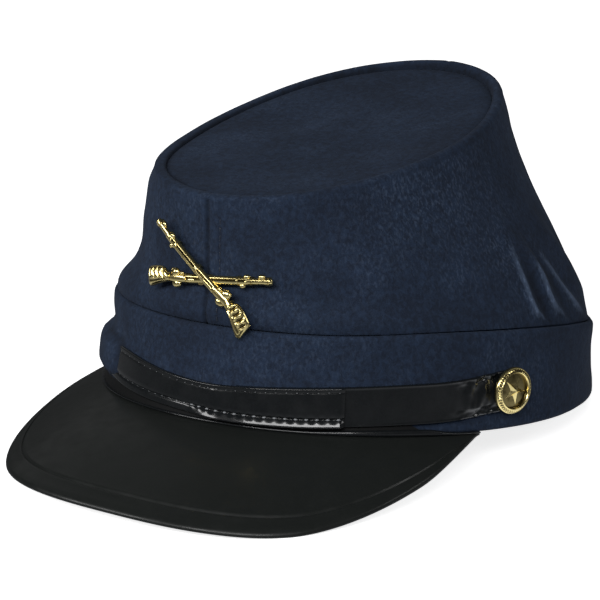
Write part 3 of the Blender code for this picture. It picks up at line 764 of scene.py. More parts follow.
def peak_edge(turn):
    """Point of the peak's outer edge; turn runs from -90 to 90 degrees."""
    attach = oval(peak_attach(PEAK_SWEEP if turn > 0.0 else -PEAK_SWEEP), 0.0)
    sine, cosine = sin(radians(turn)), cos(radians(turn))
    across = copysign(abs(sine) ** (2.0 / PEAK_SQUARENESS), sine)
    ahead = abs(cosine) ** (2.0 / PEAK_SQUARENESS)
    corner = 1.0 - min(CORNER_FADE * ahead, 1.0)
    draw_in = (1.0 - abs(attach.x) / PEAK_HALF_WIDTH) * corner ** 2
    drop = PEAK_DROP + PEAK_SIDE_DROP * across ** 2 - PEAK_CORNER_RISE * across ** 4
    drop += sum(fall * hill(across, place, width) for place, width, fall in PEAK_BENDS)
    drop *= 1.0 - (1.0 - min(DROP_REACH * ahead, 1.0)) ** DROP_POWER
    tail = PEAK_TAIL * (1.0 - min(TAIL_FADE * ahead, 1.0)) ** 2
    tail -= PEAK_LEFT_PULL * (1.0 - ahead) ** 2 * ease(turn / 40.0)
    return Vector((PEAK_HALF_WIDTH * across * (1.0 - draw_in),
                   PEAK_BASE - PEAK_REACH * ahead + tail, -drop))


def peak_point(turn, share):
    """Point of the peak's upper face: share 0 at the band, 1 at the outer edge."""
    start = oval(peak_attach(turn), PEAK_LAP)
    start = Vector((start.x, start.y, -GAP))
    edge = peak_edge(turn)
    point = start.lerp(edge, share)
    away = (1.0 - share) * (edge - start).length
    ahead = cos(radians(turn))
    point.z -= RIM_FALL * ease((PRESSED_LINE - away) / PRESSED_LINE) * ahead
    point.z += PEAK_ARCH * sin(pi * share) * ahead ** 0.5
    return point


FROM_EDGE = [14.0, 11.5, 9.8, 8.6, 8.0, 7.6, 7.3, 7.0, 6.7, 6.4, 6.0, 5.4, 4.4, 3.2, 2.2, 1.4,
             0.8, 0.35, 0.0]
PLAIN_ROWS = 18


def peak_row(turn, row):
    """(share, distance from the edge in mm) of a row of the upper face."""
    reach = max((peak_edge(turn) - peak_point(turn, 0.0)).length, 0.5)
    squeeze = min(1.0, 0.75 * reach / FROM_EDGE[0])
    if row < PLAIN_ROWS:
        last = 1.0 - FROM_EDGE[0] * squeeze / reach
        return last * row / PLAIN_ROWS, 2.0 * FROM_EDGE[0]
    distance = FROM_EDGE[row - PLAIN_ROWS]
    return 1.0 - distance * squeeze / reach, distance


PEAK_TOP = PLAIN_ROWS + len(FROM_EDGE)
EDGE_STEPS, PEAK_BELOW = 7, 14
PEAK_SECTION = 1 + PEAK_TOP + EDGE_STEPS + PEAK_BELOW + 1
PEAK_STATIONS, CORNER_CROWD = 221, 0.35  # how far the stations gather at the corners


def peak_relief(distance):
    """The pressed line between its two lips, and the bead of the outer edge."""
    line = hill(distance, PRESSED_LINE, PRESSED_WIDTH)
    lips = hill(distance, PRESSED_LINE, 2.4 * PRESSED_WIDTH)
    return PRESSED_DEPTH * (0.5 * lips - 1.5 * line) + RIM_BEAD * hill(distance, 1.6, 1.3)


def place_peak(side, station):
    raw = 2.0 * station / (PEAK_STATIONS - 1) - 1.0
    turn = PEAK_SWEEP * ((1.0 + CORNER_CROWD) * raw - CORNER_CROWD * raw ** 3)
    inner = oval(peak_attach(turn), -PEAK_UNDER)
    corner = ease((PEAK_SWEEP - abs(turn)) / THIN_RUN)
    thin = PEAK_WALL * (THIN_CORNER + (1.0 - THIN_CORNER) * corner)
    if side == 0:
        return Vector((inner.x, inner.y, -GAP))
    if side <= PEAK_TOP:
        share, distance = peak_row(turn, side - 1)
        point = peak_point(turn, share)
        point.z += peak_relief(distance)
        point.z += PEAK_WAVE * noise.noise(point / WAVE_LONG) * sin(pi * share)
        return point
    if side <= PEAK_TOP + EDGE_STEPS:
        around = pi * (side - PEAK_TOP) / (EDGE_STEPS + 1.0)
        edge = peak_point(turn, 1.0)
        ahead = edge - peak_point(turn, 0.97)
        ahead = ahead.normalized() if ahead.length > 1e-6 else Vector((0.0, -1.0, 0.0))
        down = Vector((0.0, 0.0, 0.5 * thin * (1.0 - cos(around))))
        return edge + ahead * 0.45 * thin * sin(around) - down
    row = side - PEAK_TOP - EDGE_STEPS - 1
    if row == PEAK_BELOW:
        return Vector((inner.x, inner.y, -GAP - thin))
    return peak_point(turn, 1.0 - row / (PEAK_BELOW - 1.0)) - Vector((0.0, 0.0, thin))


peak_mesh = sweep(PEAK_SECTION, PEAK_STATIONS, place_peak)
bmesh.ops.triangulate(peak_mesh, faces=[face for face in peak_mesh.faces if len(face.verts) > 4])
finish_piece("peak", peak_mesh, PEAK_PATENT, ["peak"])

# %% [markdown]
# ## The straps
# The strap is in two parts: a stitched one that comes round from the wearer's right and ends
# square past the centre front, and a plain one under it that goes on to the left button. A
# stitched strap is two skins sewn along both edges. It dips at each row of stitches, and towards
# its free end the margin below the lower row flares out, so that it catches the light. Where
# the button draws the plain strap in, its skin puckers.

# %% Strap course and section
STRAP_WALL = 1.2
STRAP_LINE = ((-90, 10.2), (-70, 10.4), (-54, 12.6), (-44, 13.0), (-34, 12.3), (-26, 11.3),
              (-16, 9.8), (-8, 8.9), (0, 8.3), (12, 8.5), (25, 9.5), (35, 10.5), (47, 11.6),
              (60, 12.6), (75, 15.2), (90, 15.2))
STRAP_WIDTHS = ((-90, 14.0), (-64, 12.6), (-54, 10.6), (-41, 10.6), (-35.5, 12.4), (-26, 14.2),
                (-16, 13.6), (-8, 12.8), (0, 12.6), (14, 14.0), (30, 15.0), (90, 15.0))
LONG_STRAP_END, SHORT_STRAP_END, OVERLAP_CLIMB = 35.1, 10.0, 14.0
BUTTON_ANGLE, BUTTON_TAIL = 75.0, 6.5
STRAP_DEGREE = radians(1.0) * HALF_WIDTH  # mm of strap to a degree
LOWER_ROW, UPPER_ROW, STITCH_PITCH = 3.3, 1.7, 3.8  # mm from the edges, and along the strap
MARGIN_START, MARGIN_FLARE = 0.35, 1.04  # mm below the row, and how far it flares out
MARGIN_PULL, STRAP_WAVE = 0.26, 0.10  # mm: drawn in at a hole, unevenness of either strap
FAINT, FULL_FROM, FULL_RUN = 0.10, -4.5, 9.0  # its share at first, and degrees where it grows
LOWER_GROOVE, LOWER_HOLE, UPPER_GROOVE, UPPER_HOLE = 0.32, 0.38, 0.08, 0.05  # mm deep
PUCKER, PLAIN_ROLL = 1.7, 0.14  # mm, of the plain strap by its button and along its edges
EDGE_WALL, LOWER_ROUND, UPPER_ROUND = 0.25, 0.6, 0.45  # mm at the edges, and how they round off
END_WALL, END_RUN = 0.45, 1.2  # share of the stitched strap's wall at its free end, and mm
STRAP_FINENESS = 3.2  # stations a degree
# mm from the strap's lower and upper edge where it has rows of vertices
AROUND_LOWER = (0.0, 0.06, 0.2, 0.4, 0.7, 1.05, 1.4, 1.8, 2.2, 2.6, 2.9, 3.1, 3.3, 3.5, 3.75,
                4.1)
AROUND_UPPER = (2.8, 2.4, 2.1, 1.85, 1.7, 1.55, 1.3, 1.0, 0.7, 0.45, 0.25, 0.1, 0.0)


def strap_point(angle, across, out):
    """Point over the band on a strap's course; across runs over the strap's width."""
    return band_point(angle, along(STRAP_LINE, angle) + across, out)


def half_strap(angle):
    return 0.5 * along(STRAP_WIDTHS, angle)


def strap_rows(angle):
    """Places across the strap, close together along its two edges."""
    half = half_strap(angle)
    lower = [away - half for away in AROUND_LOWER]
    upper = [half - away for away in AROUND_UPPER]
    middle = [lower[-1] + (upper[0] - lower[-1]) * share for share in (0.2, 0.4, 0.6, 0.8)]
    return lower + middle + upper


def over_short_strap(angle):
    """Height of the long strap above the band: it climbs over the short strap's end."""
    climb = ease((angle - SHORT_STRAP_END + OVERLAP_CLIMB) / OVERLAP_CLIMB * 1.25)
    return GAP + (STRAP_WALL + GAP) * climb


def stitched_top(angle, below, above, run):
    """Upper skin of the stitched strap: two grooves, and a margin that stands out below."""
    full = FAINT + (1.0 - FAINT) * ease((angle - FULL_FROM) / FULL_RUN)
    hole = full * (0.5 + 0.5 * cos(2.0 * pi * run / STITCH_PITCH))
    start = LOWER_ROW - MARGIN_START
    swell = full * MARGIN_FLARE * min(max((start - below) / start, 0.0), 1.0)
    swell -= full * MARGIN_PULL * hole * hill(below, LOWER_ROW - 0.7, 0.5)
    lower = (LOWER_GROOVE + LOWER_HOLE * hole) * hill(below, LOWER_ROW, 0.40)
    upper = (UPPER_GROOVE + UPPER_HOLE * hole) * hill(above, UPPER_ROW, 0.35)
    return STRAP_WALL + swell - lower - upper + 0.10 * ease((0.9 - above) / 0.7)


def plain_top(angle, below, above, run):
    """Upper skin of the plain strap: rolled edges, and puckers where the button draws it in."""
    rolled = PLAIN_ROLL * (hill(below, 0.5, 0.3) + hill(above, 0.5, 0.3))
    pucker = noise.noise(Vector((run / 4.4, below / 3.8, 7.3)))
    pucker += 0.4 * noise.noise(Vector((run / 1.7, below / 1.6, 3.1)))
    return STRAP_WALL + rolled + PUCKER * pucker * hill(angle, BUTTON_ANGLE - 7.0, 5.5)


def strap_surface(angle, across, lie, stitched, run):
    """Height of a strap's upper skin above the band."""
    below, above = half_strap(angle) + across, half_strap(angle) - across
    top = (stitched_top if stitched else plain_top)(angle, below, above, run)
    top += STRAP_WAVE * noise.noise(Vector((run / 15.0, across / 9.0, 2.1)))
    close = min(below / LOWER_ROUND, above / UPPER_ROUND, 1.0)
    top *= sqrt(max(1.0 - (1.0 - close) ** 2, 0.0))
    return lie(angle) + max(top, EDGE_WALL)


def make_strap(name, start, end, lie, stitched):
    """A strap whose button end is round; the stitched one's free end is square."""
    nose = degrees(half_strap(BUTTON_ANGLE) / HALF_WIDTH)
    stations = 2 + round((end - start) * STRAP_FINENESS)
    rows = len(strap_rows(0.0))

    def width_share(angle):
        reach = min((angle - start if stitched else end - angle) / nose, 1.0)
        return sqrt(max(1.0 - (1.0 - max(reach, 0.004)) ** 2, 0.0))

    def place(side, station):
        angle = start + (end - start) * station / (stations - 1)
        run = (end - angle) * STRAP_DEGREE
        across = strap_rows(angle)[side if side < rows else 2 * rows - 1 - side]
        out = lie(angle)
        if side < rows:
            rise = strap_surface(angle, across, lie, stitched, run) - out
            out += rise * (END_WALL + (1.0 - END_WALL) * ease(run / END_RUN)) if stitched else rise
        return strap_point(angle, across * width_share(angle), out)

    finish_piece(name, sweep(2 * rows, stations, place), STRAP_PATENT, [name])


tail = degrees(BUTTON_TAIL / HALF_WIDTH)
make_strap("chin_strap_short", SHORT_STRAP_END, BUTTON_ANGLE + tail, lambda angle: GAP, False)
make_strap("chin_strap_long", -BUTTON_ANGLE - tail, LONG_STRAP_END, over_short_strap, True)

# %% [markdown]
# ## Stitches
# A machine's lockstitch shows as a row of short thread lengths, each dipping into its hole. A
# sphere drawn out to the thread's length and thickness is enough at this size, and all the
# stitches of a row are one mesh. Each is laid along its row and pressed into the dent, deeper
# towards the wearer's right, and there are none to see where the puffed cloth lies on the strap.

# %% Thread rows
STITCH_LONG, SEAM_STITCH = 1.5, 2.1  # mm, on the strap and by the front seam
STITCHED_FROM, PUFF_START, PUFF_END = -70.0, -64.0, -34.0  # degrees round the cap
SEAM_PITCH, SEAM_STITCH_TOP, SEAM_THREAD = 3.0, 80.0, 0.42  # mm


def add_stitch(mesh, middle, ahead, outward, length, thick):
    """One thread length, laid along ahead on a surface that faces outward."""
    side = outward.cross(ahead).normalized()
    turn = Matrix((ahead, side, outward)).transposed().to_4x4()
    shape = Matrix.Diagonal((length / 2.0, thick / 2.0, thick / 2.0, 1.0))
    bmesh.ops.create_uvsphere(mesh, u_segments=8, v_segments=5, radius=1.0,
                              matrix=Matrix.Translation(middle) @ turn @ shape)


def strap_stitches():
    mesh = bmesh.new()
    for number in range(int((LONG_STRAP_END - STITCHED_FROM) * STRAP_DEGREE / STITCH_PITCH)):
        run = (number + 0.5) * STITCH_PITCH
        angle = LONG_STRAP_END - run / STRAP_DEGREE
        if PUFF_START < angle < PUFF_END:
            continue
        half = half_strap(angle)
        shown = ease((angle + 4.0) / 5.0)      # further back the thread is drawn in deep
        for row, rise, thick in ((LOWER_ROW - half, 0.42 * shown - 0.2, 0.5 + 0.25 * shown),
                                 (half - UPPER_ROW, -0.22, 0.5)):
            out = strap_surface(angle, row, over_short_strap, True, run) + rise
            middle = strap_point(angle, row, out)
            ahead = (strap_point(angle + 0.4, row, out) - middle).normalized()
            outward = (strap_point(angle, row, out + 1.0) - middle).normalized()
            add_stitch(mesh, middle, ahead, outward, STITCH_LONG, thick)
    return mesh


def beside_seam(height):
    """Point of the wall at a height, TOPSTITCH mm from the front seam, found step by step."""
    angle = 3.4
    for _ in range(4):
        point = wall_at(angle, height, -0.02)
        angle *= TOPSTITCH / point.x
    return point


def topstitch_row():
    mesh = bmesh.new()
    low = band_height(3.0) + SEAM_PITCH
    for number in range(int((SEAM_STITCH_TOP - low) / SEAM_PITCH)):
        height = low + SEAM_PITCH * number
        middle = beside_seam(height)
        ahead = (beside_seam(height + 0.5) - middle).normalized()
        outward = Vector((0.05, -1.0, 0.05)).normalized()
        outward = (outward - ahead * outward.dot(ahead)).normalized()
        add_stitch(mesh, middle, ahead, outward, SEAM_STITCH, SEAM_THREAD)
    return mesh


finish_piece("strap_stitches", strap_stitches(), STRAP_THREAD_PAINTED_GLINT, [])
finish_piece("front_seam_stitches", topstitch_row(), NAVY_THREAD, [])

# %% [markdown]
# ## The welt
# Where the peak goes in under the band, a piped welt covers the stitching. It is a glossy round
# bead laid in the corner, and behind it a thin matt flange that runs up the band and in under the
# strap, finished near-black as painted shade. Both end low at the peak's corners, where the blue
# cloth shows below the strap.

# %% Welt
WELT_TOP = ((-66, 0.2), (-30, 0.3), (-8, 0.9), (20, 1.0), (28, 1.2), (35, 1.8), (42, 2.2),
            (50, 2.4), (55, 2.2), (60, 1.0), (66, 0.5))   # height of the bead at each angle
WELT_FOOT, WELT_STATIONS = -0.28, 181  # mm below the rim where the bead starts
WELT_AXIS, WELT_RADIUS = 0.35, 0.95  # mm: the bead's axis off the band, and how far it stands out
FLANGE_END, FLANGE_RUN, FLANGE_LAP = 56.0, 8.0, 0.8  # degrees, and mm that it goes under the strap


def welt_section(angle):
    """(height, distance from the band) round the bead."""
    top = along(WELT_TOP, angle)
    middle, tall = 0.5 * (top + WELT_FOOT), 0.5 * (top - WELT_FOOT)
    bead = [(middle - tall * cos(turn), WELT_AXIS + WELT_RADIUS * sin(turn))
            for turn in (pi * step / 9.0 for step in range(10))]
    return bead + [(top, 0.05), (WELT_FOOT, 0.05)]


def flange_section(angle):
    """(height, distance from the band) round the flange that runs up under the strap."""
    lower_edge = along(STRAP_LINE, angle) - half_strap(angle)
    high = max(0.3, (lower_edge + FLANGE_LAP) * ease((FLANGE_END - abs(angle)) / FLANGE_RUN))
    return [(0.0, 0.24), (high, 0.22), (high, 0.05), (0.0, 0.05)]


def along_peak(section):
    def place(side, station):
        share = station / (WELT_STATIONS - 1.0)
        angle = -PEAK_ANGLE + (PEAK_ANGLE + PEAK_LEFT_ANGLE) * share
        height, out = section(angle)[side]
        return band_point(angle, height, out)

    return sweep(len(section(0.0)), WELT_STATIONS, place)


finish_piece("peak_welt", along_peak(welt_section), STRAP_PATENT, [])
# the flange's near-black finish is painted shade
finish_piece("peak_welt_flange", along_peak(flange_section), FLANGE_PAINTED_SHADE, [])

# %% [markdown]
# ## The star buttons
# A dress button is struck from sheet brass. The die leaves a raised rim with a milled circle, a
# sunk field and a five-pointed star whose ridges run out to the points. The body is a profile
# spun about its axis, and the milling is a wave round the rim. The star starts as a cone with
# ten sides, and every other foot corner is drawn in. Tarnish stays between the beads and in the
# field.

# %% Buttons
BUTTON_RADIUS, BUTTON_FIELD = 8.9, 1.7
STAR_POINTS, STAR_RADIUS, STAR_WAIST, STAR_RISE = 5, 6.2, 2.6, 1.8
STAR_TURN, STAR_FOOT = radians(11.0), 1.4  # turned by chance; mm, sunk into the field
MILLING, MILLING_RISE = 44, 0.20  # beads round the rim, and their height in mm
BUTTON_PROFILE = (  # (share of the radius, height) from the field's middle
    (0.0, 1.95), (0.15, 1.94), (0.30, 1.90), (0.45, 1.82), (0.58, 1.70), (0.67, 1.56),
    (0.712, 1.50), (0.73, 1.90), (0.745, 2.35), (0.765, 2.68), (0.785, 2.80), (0.805, 2.76),
    (0.825, 2.60), (0.855, 2.42), (0.885, 2.22), (0.915, 2.02), (0.94, 1.88), (0.962, 1.88),
    (0.98, 1.72), (0.995, 1.35), (1.0, 1.0), (0.985, 0.55), (0.94, 0.25), (0.86, 0.05),
    (0.7, 0.0), (0.0, 0.0))                # over the rim and round the back


def button_seat(side):
    """Matrix from the button's own frame to the cap's, on the strap's middle line."""
    seat = STRAP_WALL + 2.0 * GAP
    place = strap_point(side * BUTTON_ANGLE, 0.0, seat)
    outward = (strap_point(side * BUTTON_ANGLE, 0.0, seat + 1.0) - place).normalized()
    sideways = Vector((0, 0, 1)).cross(outward).normalized()
    turn = Matrix((sideways, outward.cross(sideways), outward)).transposed().to_4x4()
    return Matrix.Translation(place) @ turn


def make_button(name, side):
    mesh = bmesh.new()
    verts = [mesh.verts.new((share * BUTTON_RADIUS, 0.0, height))
             for share, height in BUTTON_PROFILE]
    for one, two in zip(verts, verts[1:]):
        mesh.edges.new((one, two))
    bmesh.ops.spin(mesh, geom=mesh.verts[:] + mesh.edges[:], cent=(0, 0, 0), axis=(0, 0, 1),
                   angle=2.0 * pi, steps=4 * MILLING, use_merge=True, dvec=(0, 0, 0))
    hollow = mesh.verts.layers.float.new("hollow")
    for vert in mesh.verts:
        away = vert.co.xy.length / BUTTON_RADIUS
        if 0.84 < away < 0.93 and vert.co.z > 1.5:      # the milled circle
            beads = cos(MILLING * atan2(vert.co.y, vert.co.x))
            vert.co.z += MILLING_RISE * beads
            vert[hollow] = 0.3 - 0.3 * beads
        if away < 0.74 and vert.co.z > 1.2:             # the field
            vert[hollow] = 0.50 + 0.25 * away
    star = bmesh.ops.create_cone(mesh, cap_ends=True, segments=2 * STAR_POINTS,
                                 radius1=STAR_RADIUS, radius2=0.05, depth=1.0)["verts"]
    for vert in star:
        turn = atan2(vert.co.y, vert.co.x) + 0.5 * pi
        low = vert.co.z < 0.0
        if low and round(turn / pi * STAR_POINTS) % 2:
            vert.co *= STAR_WAIST / STAR_RADIUS
        vert.co.z = STAR_FOOT if low else BUTTON_FIELD + STAR_RISE
    bmesh.ops.rotate(mesh, cent=(0, 0, 0), matrix=Matrix.Rotation(STAR_TURN, 3, "Z"), verts=star)
    bmesh.ops.transform(mesh, matrix=button_seat(side), verts=mesh.verts)
    finish_piece(name, mesh, BRASS, [name], sharp=28.0)


make_button("button_left", 1)
make_button("button_right", -1)

# %% [markdown]
# ## The crossed rifles
# The badge is one casting: two old infantry rifles, crossed, one over the other. Each rifle is a
# half-round relief, so it is swept from butt to muzzle with a table of how far it reaches above
# and below its axis and how high it stands. Small turned and round parts, such as the barrel
# bands, the swivels, the hammer and the trigger guard, are laid on it as the carver would. The
# upper rifle is bent: its stock drops behind the wrist, and its barrel is swung to suit.

# %% Rifle outline
RIFLE_LENGTH, CROSSING, RIFLE_LIFT = 55.3, 0.521, 1.1
BADGE_ANGLE, BADGE_HEIGHT, BADGE_LEAN = -0.5, 52.6, radians(-1.0)
BADGE_TURN, RIFLE_SPREAD = radians(17.7), radians(66.9)
BADGE_BEND, BADGE_POST, POST_RADIUS = 110.0, 1.4, 2.2
BESIDE_SEAM, WALL_NARROWS = -3.0, 0.9  # degrees, clear of the seam; share of the rim's width
RIFLE = (  # share of the length, reach above and below the axis, height over the cloth
    (0.000, 3.2, 3.6, 1.4), (0.020, 3.6, 4.0, 2.3), (0.060, 3.9, 3.5, 2.7), (0.100, 4.1, 2.8, 2.8),
    (0.140, 4.0, 2.2, 2.8), (0.165, 3.5, 1.9, 2.7), (0.190, 2.3, 1.7, 2.5), (0.215, 1.6, 1.5, 2.3),
    (0.250, 1.8, 1.8, 2.4), (0.300, 1.85, 1.85, 2.4), (0.340, 1.7, 1.8, 2.3),
    (0.400, 1.75, 1.85, 2.2), (0.560, 1.7, 1.75, 2.2), (0.780, 1.65, 1.7, 2.1),
    (0.850, 1.6, 1.6, 2.1), (0.862, 1.3, 1.4, 1.9), (0.960, 1.2, 1.3, 1.8),
    (0.972, 1.4, 1.45, 1.9), (1.000, 1.3, 1.35, 1.8))
RIFLE_SIDES, RIFLE_STATIONS = 30, 200
BAND_PROUD, BAND_FOOT = 0.28, 0.35  # mm that a barrel band stands out, and starts up
SCROLL, SCROLLS, BUTT_GROOVE, BARREL_GROOVE = 0.42, 23.0, 0.34, 0.50  # mm, and how many a length
WRIST, UPPER_SWING, UPPER_DROP = 0.25, radians(4.0), 3.6  # the upper rifle's bent stock


def rifle_row(share, column):
    """A column of the rifle's table at a share of its length."""
    return along([(row[0], row[column]) for row in RIFLE], share)


def rifle_run(share):
    """Place along the rifle in mm, counted from where the two cross."""
    return (share - (1.0 - CROSSING)) * RIFLE_LENGTH


def carve(share, around):
    """Carved relief: a scrolled comb and two long grooves on the butt, one along the barrel."""
    relief = 0.0
    if share < 0.20:
        ends = ease((share - 0.012) / 0.015) * ease((0.195 - share) / 0.02)
        comb = ease((around - 0.16 * pi) / 0.3) * ease((0.56 * pi - around) / 0.3)
        wave = sin(2.0 * pi * (share * SCROLLS + 0.22 * sin(2.2 * around)))
        relief += ends * comb * (SCROLL * wave - 0.12)
        for line in (0.62, 0.80):
            relief -= BUTT_GROOVE * ends * hill(around, line * pi, 0.13)
    if 0.34 < share < 0.84:
        ends = ease((share - 0.34) / 0.02) * ease((0.84 - share) / 0.02)
        relief -= BARREL_GROOVE * ends * hill(around, 0.44 * pi, 0.15)
    return relief


def bare_rifle(lift, side):
    def shape(corner, number):
        return number / (RIFLE_STATIONS - 1), pi * corner / (RIFLE_SIDES - 1)

    def place(corner, number):
        share, around = shape(corner, number)
        above, below, thick = (rifle_row(share, column) for column in (1, 2, 3))
        across = (above if around < 0.5 * pi else below) * cos(around)
        rise = thick * sin(around) ** 0.5 + carve(share, around)
        return Vector((rifle_run(share), -side * across, lift + rise))

    def hollow(corner, number):
        return min(max(-2.2 * carve(*shape(corner, number)), 0.0), 1.0)

    return sweep(RIFLE_SIDES, RIFLE_STATIONS, place, mark="hollow", amount=hollow)


def lay_ball(mesh, lift, side, share, across, rise, size):
    """A small rounded part: a swivel knob, hammer spur or sight."""
    middle = Vector((rifle_run(share), -side * across, lift + rise))
    shape = Matrix.Translation(middle) @ Matrix.Diagonal((*size, 1.0))
    bmesh.ops.create_uvsphere(mesh, u_segments=14, v_segments=9, radius=1.0, matrix=shape)


def lay_band(mesh, lift, side, share, width):
    """A barrel band: a short collar that stands proud of barrel and stock."""
    above, below, thick = (rifle_row(share, column) + BAND_PROUD for column in (1, 2, 3))
    middle = Vector((rifle_run(share), -side * 0.5 * (above - below), lift + BAND_FOOT))
    size = (0.5 * width, 0.5 * (above + below), thick - BAND_FOOT)
    turn = Matrix.Rotation(0.5 * pi, 4, "Y")
    shape = Matrix.Translation(middle) @ Matrix.Diagonal((*size, 1.0)) @ turn
    bmesh.ops.create_cone(mesh, cap_ends=True, segments=20, radius1=1.0, radius2=1.0, depth=2.0,
                          matrix=shape)


ROUND_PARTS = (  # share, across, rise and half the size in length, width and height
    (0.262, 2.1, 1.2, (2.1, 1.8, 1.3)),  # hammer
    (0.240, 3.2, 1.3, (0.9, 0.6, 0.7)),  # its spur
    (0.318, 1.9, 1.3, (1.2, 0.7, 0.9)),  # nipple
    (0.268, -2.1, 1.0, (2.2, 1.6, 1.1)),  # trigger guard
    (0.800, -1.7, 1.1, (1.2, 1.1, 1.0)),  # lower swivel
    (0.835, 1.6, 1.2, (1.4, 1.0, 1.0)),  # ramrod ferrule
    (0.940, 1.6, 1.2, (1.4, 1.1, 0.9)),  # front sight
    (0.996, 0.0, 0.9, (0.8, 1.2, 1.1)))  # muzzle
BANDS = ((0.205, 0.9), (0.350, 1.0), (0.545, 1.3), (0.770, 0.8), (0.857, 1.3), (0.975, 1.2))


def bend_stock(mesh, side, swing, drop):
    """Swing the barrel out about its muzzle, and let the butt drop behind the wrist."""
    muzzle = Vector((CROSSING * RIFLE_LENGTH, 0.0, 0.0))
    bmesh.ops.rotate(mesh, cent=muzzle, matrix=Matrix.Rotation(side * swing, 3, "Z"),
                     verts=mesh.verts)
    for vert in mesh.verts:
        share = vert.co.x / RIFLE_LENGTH + 1.0 - CROSSING
        vert.co.y += side * drop * max(1.0 - share / WRIST, 0.0) ** 1.2


def whole_rifle(lift, lean, side, swing, drop):
    mesh = bare_rifle(lift, side)
    for share, across, rise, size in ROUND_PARTS:
        lay_ball(mesh, lift, side, share, across, rise, size)
    for share, width in BANDS:
        lay_band(mesh, lift, side, share, width)
    bend_stock(mesh, side, swing, drop)
    bmesh.ops.rotate(mesh, cent=(0, 0, 0), matrix=Matrix.Rotation(lean, 3, "Z"), verts=mesh.verts)
    return mesh


print("rifle, mm:", RIFLE_LENGTH, "long and", max(row[3] for row in RIFLE), "high at the butt")

# %% [markdown]
# The two rifles are laid crosswise, bowed a little to the cap's front, and stood on a short
# post, which is the head of the screw that holds such a badge. It was pinned on askew.

# %% Badge
def make_badge():
    upright = 0.5 * pi - BADGE_TURN
    badge = whole_rifle(0.0, upright - RIFLE_SPREAD, -1, 0.0, 0.0)
    over = whole_rifle(RIFLE_LIFT, upright + RIFLE_SPREAD, 1, UPPER_SWING, UPPER_DROP)
    carrier = bpy.data.meshes.new("upper_rifle")
    over.to_mesh(carrier)
    over.free()
    badge.from_mesh(carrier)
    bpy.data.meshes.remove(carrier)
    bmesh.ops.create_cone(badge, cap_ends=True, segments=24, radius1=POST_RADIUS,
                          radius2=POST_RADIUS, depth=2.0 * BADGE_POST)
    tilt = Matrix.Rotation(radians(90.0) + BADGE_LEAN, 3, "X")
    foot = wall_at(BESIDE_SEAM, BADGE_HEIGHT)
    foot.x = oval(BADGE_ANGLE, 0.0).x * WALL_NARROWS
    seat = foot + tilt @ Vector((0.0, 0.0, GAP + BADGE_POST))
    for vert in badge.verts:
        bowed = vert.co - Vector((0.0, 0.0, vert.co.x ** 2 / (2.0 * BADGE_BEND)))
        vert.co = seat + tilt @ bowed
    finish_piece("crossed_rifles", badge, BRASS, ["crossed_rifles"], sharp=35.0)


make_badge()

# %% [markdown]
# ## The studio
# A pale floor runs out of sight. Patent leather shows what it faces, so each softbox is placed
# for its reflection. The front strip lies along the flared margin of the strap, the key on the
# wearer's right shapes the wall and the peak, and two weak ones lift the wearer's left and the
# rear. The air is dim from most sides and bright from below, as over a white table, and a camera
# sees it nearly white.

# %% Floor and lights
floor_mesh = bmesh.new()
bmesh.ops.create_grid(floor_mesh, x_segments=1, y_segments=1, size=30.0)
floor_data = bpy.data.meshes.new("studio_floor")
floor_mesh.to_mesh(floor_data)
floor_mesh.free()
floor = add_object("studio_floor", floor_data)
floor.location.z = -0.0002
floor.visible_glossy = floor.visible_diffuse = False  # the air below gives the reflections
acrylic, _ = new_finish("white_acrylic", {
    "Base Color": linear("#F4F4F4"), "Roughness": 0.7, "Emission Color": linear("#FFFFFF"),
    "Emission Strength": 0.80})
floor_data.materials.append(acrylic)

SOFT_AIR, BRIGHT_SIDE, WHITE_AIR = 0.16, (0.08, 0.0, -0.99), 0.92
MIRRORED_DIM, MIRRORED_BRIGHT = 0.03, 1.9  # strength of the air that brass and patent mirror
BRIGHT_FROM, BRIGHT_TO, BRIGHT_POWER = -0.30, 0.95, 2.5  # how the bright side fades into the dim
world = bpy.data.worlds.new("studio_air")
world.use_nodes = True
ray = world.node_tree.nodes.new("ShaderNodeLightPath").outputs
way = add_node(world.node_tree, "ShaderNodeTexCoord", "Generated", {})
facing = add_node(world.node_tree, "ShaderNodeVectorMath", "Value", {0: way, 1: BRIGHT_SIDE},
                  operation="DOT_PRODUCT")
shine = calculate("POWER", stretch(facing, BRIGHT_FROM, BRIGHT_TO), BRIGHT_POWER)
shine = stretch(shine, 0.0, 1.0, MIRRORED_DIM, MIRRORED_BRIGHT)
mirrored = blend(ray["Is Glossy Ray"], SOFT_AIR, shine, "FLOAT")
feed(world.node_tree.nodes["Background"], {
    "Color": linear("#EEF1F6"),
    "Strength": blend(ray["Is Camera Ray"], mirrored, WHITE_AIR, "FLOAT")})
bpy.context.scene.world = world


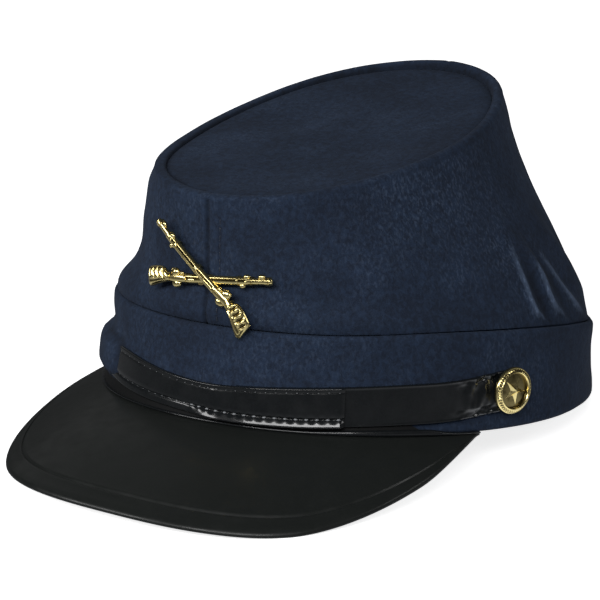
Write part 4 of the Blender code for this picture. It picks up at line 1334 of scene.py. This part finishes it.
def add_softbox(name, place, aim, width, depth, power):
    """A rectangular box light; places and sizes in metres, power in watts."""
    light = bpy.data.lights.new(name, "AREA")
    light.shape = "RECTANGLE"
    light.size, light.size_y, light.energy = width, depth, power
    lamp = add_object(name, light)
    lamp.location = place
    lamp.rotation_euler = (Vector(aim) - Vector(place)).to_track_quat("-Z", "Y").to_euler()
    print(f"{name} softbox: {width} x {depth} m, {power} W")


add_softbox("key", (-0.90, -1.15, 0.62), (0.0, 0.0, 0.05), 0.6, 0.4, 8.0)
add_softbox("front", (0.42, -1.26, 0.90), (0.0, 0.0, 0.04), 1.4, 0.34, 22.0)
add_softbox("side", (1.24, 0.50, 0.68), (0.0, 0.0, 0.05), 0.5, 0.4, 2.6)
add_softbox("back", (-1.00, 0.80, 0.96), (0.0, 0.0, 0.05), 1.4, 1.2, 0.8)

# Product photographs are shown with their whites white, so no film curve is laid over them
bpy.context.scene.view_settings.view_transform = "Standard"

# %% [markdown]
# ## The camera
# The camera stands where the photographer's did, worked out from the pieces' places in the
# picture: 1.5 m away with a long lens, 35 degrees round to the wearer's left and a little above.
# In the rim's frame those are one azimuth, one elevation and one roll.

# %% Camera
AZIMUTH, ELEVATION, ROLL = radians(34.655), radians(10.570), radians(2.770)
DISTANCE, FOCAL_PIXELS, ASIDE, ABOVE = 1500.0, 3865.87, -21.125, -26.864
SENSOR, FRAME_PIXELS = 36.0, 600.0


def add_camera():
    target = Vector((0.0, 0.0, 60.0))
    back = Vector((sin(AZIMUTH) * cos(ELEVATION),
                   -cos(AZIMUTH) * cos(ELEVATION), sin(ELEVATION)))
    right = Vector((cos(AZIMUTH), sin(AZIMUTH), 0.0))
    up = back.cross(right)
    level = cos(ROLL) * right + sin(ROLL) * up
    upward = cos(ROLL) * up - sin(ROLL) * right
    eye = TO_TABLE @ (target + back * DISTANCE + level * ASIDE + upward * ABOVE)
    turn = Matrix((level, upward, back)).transposed().to_4x4()
    data = bpy.data.cameras.new("photographer")
    data.sensor_width = SENSOR
    data.lens = FOCAL_PIXELS * SENSOR / FRAME_PIXELS
    data.clip_start, data.clip_end = 0.1, 100.0
    camera = add_object("photographer", data)
    camera.matrix_world = Matrix.Translation(eye) @ Matrix.Rotation(-LEAN_BACK, 4, "X") @ turn
    bpy.context.scene.camera = camera
    print("camera at, m:", [round(value, 3) for value in eye], "lens, mm:", round(data.lens, 1))


add_camera()
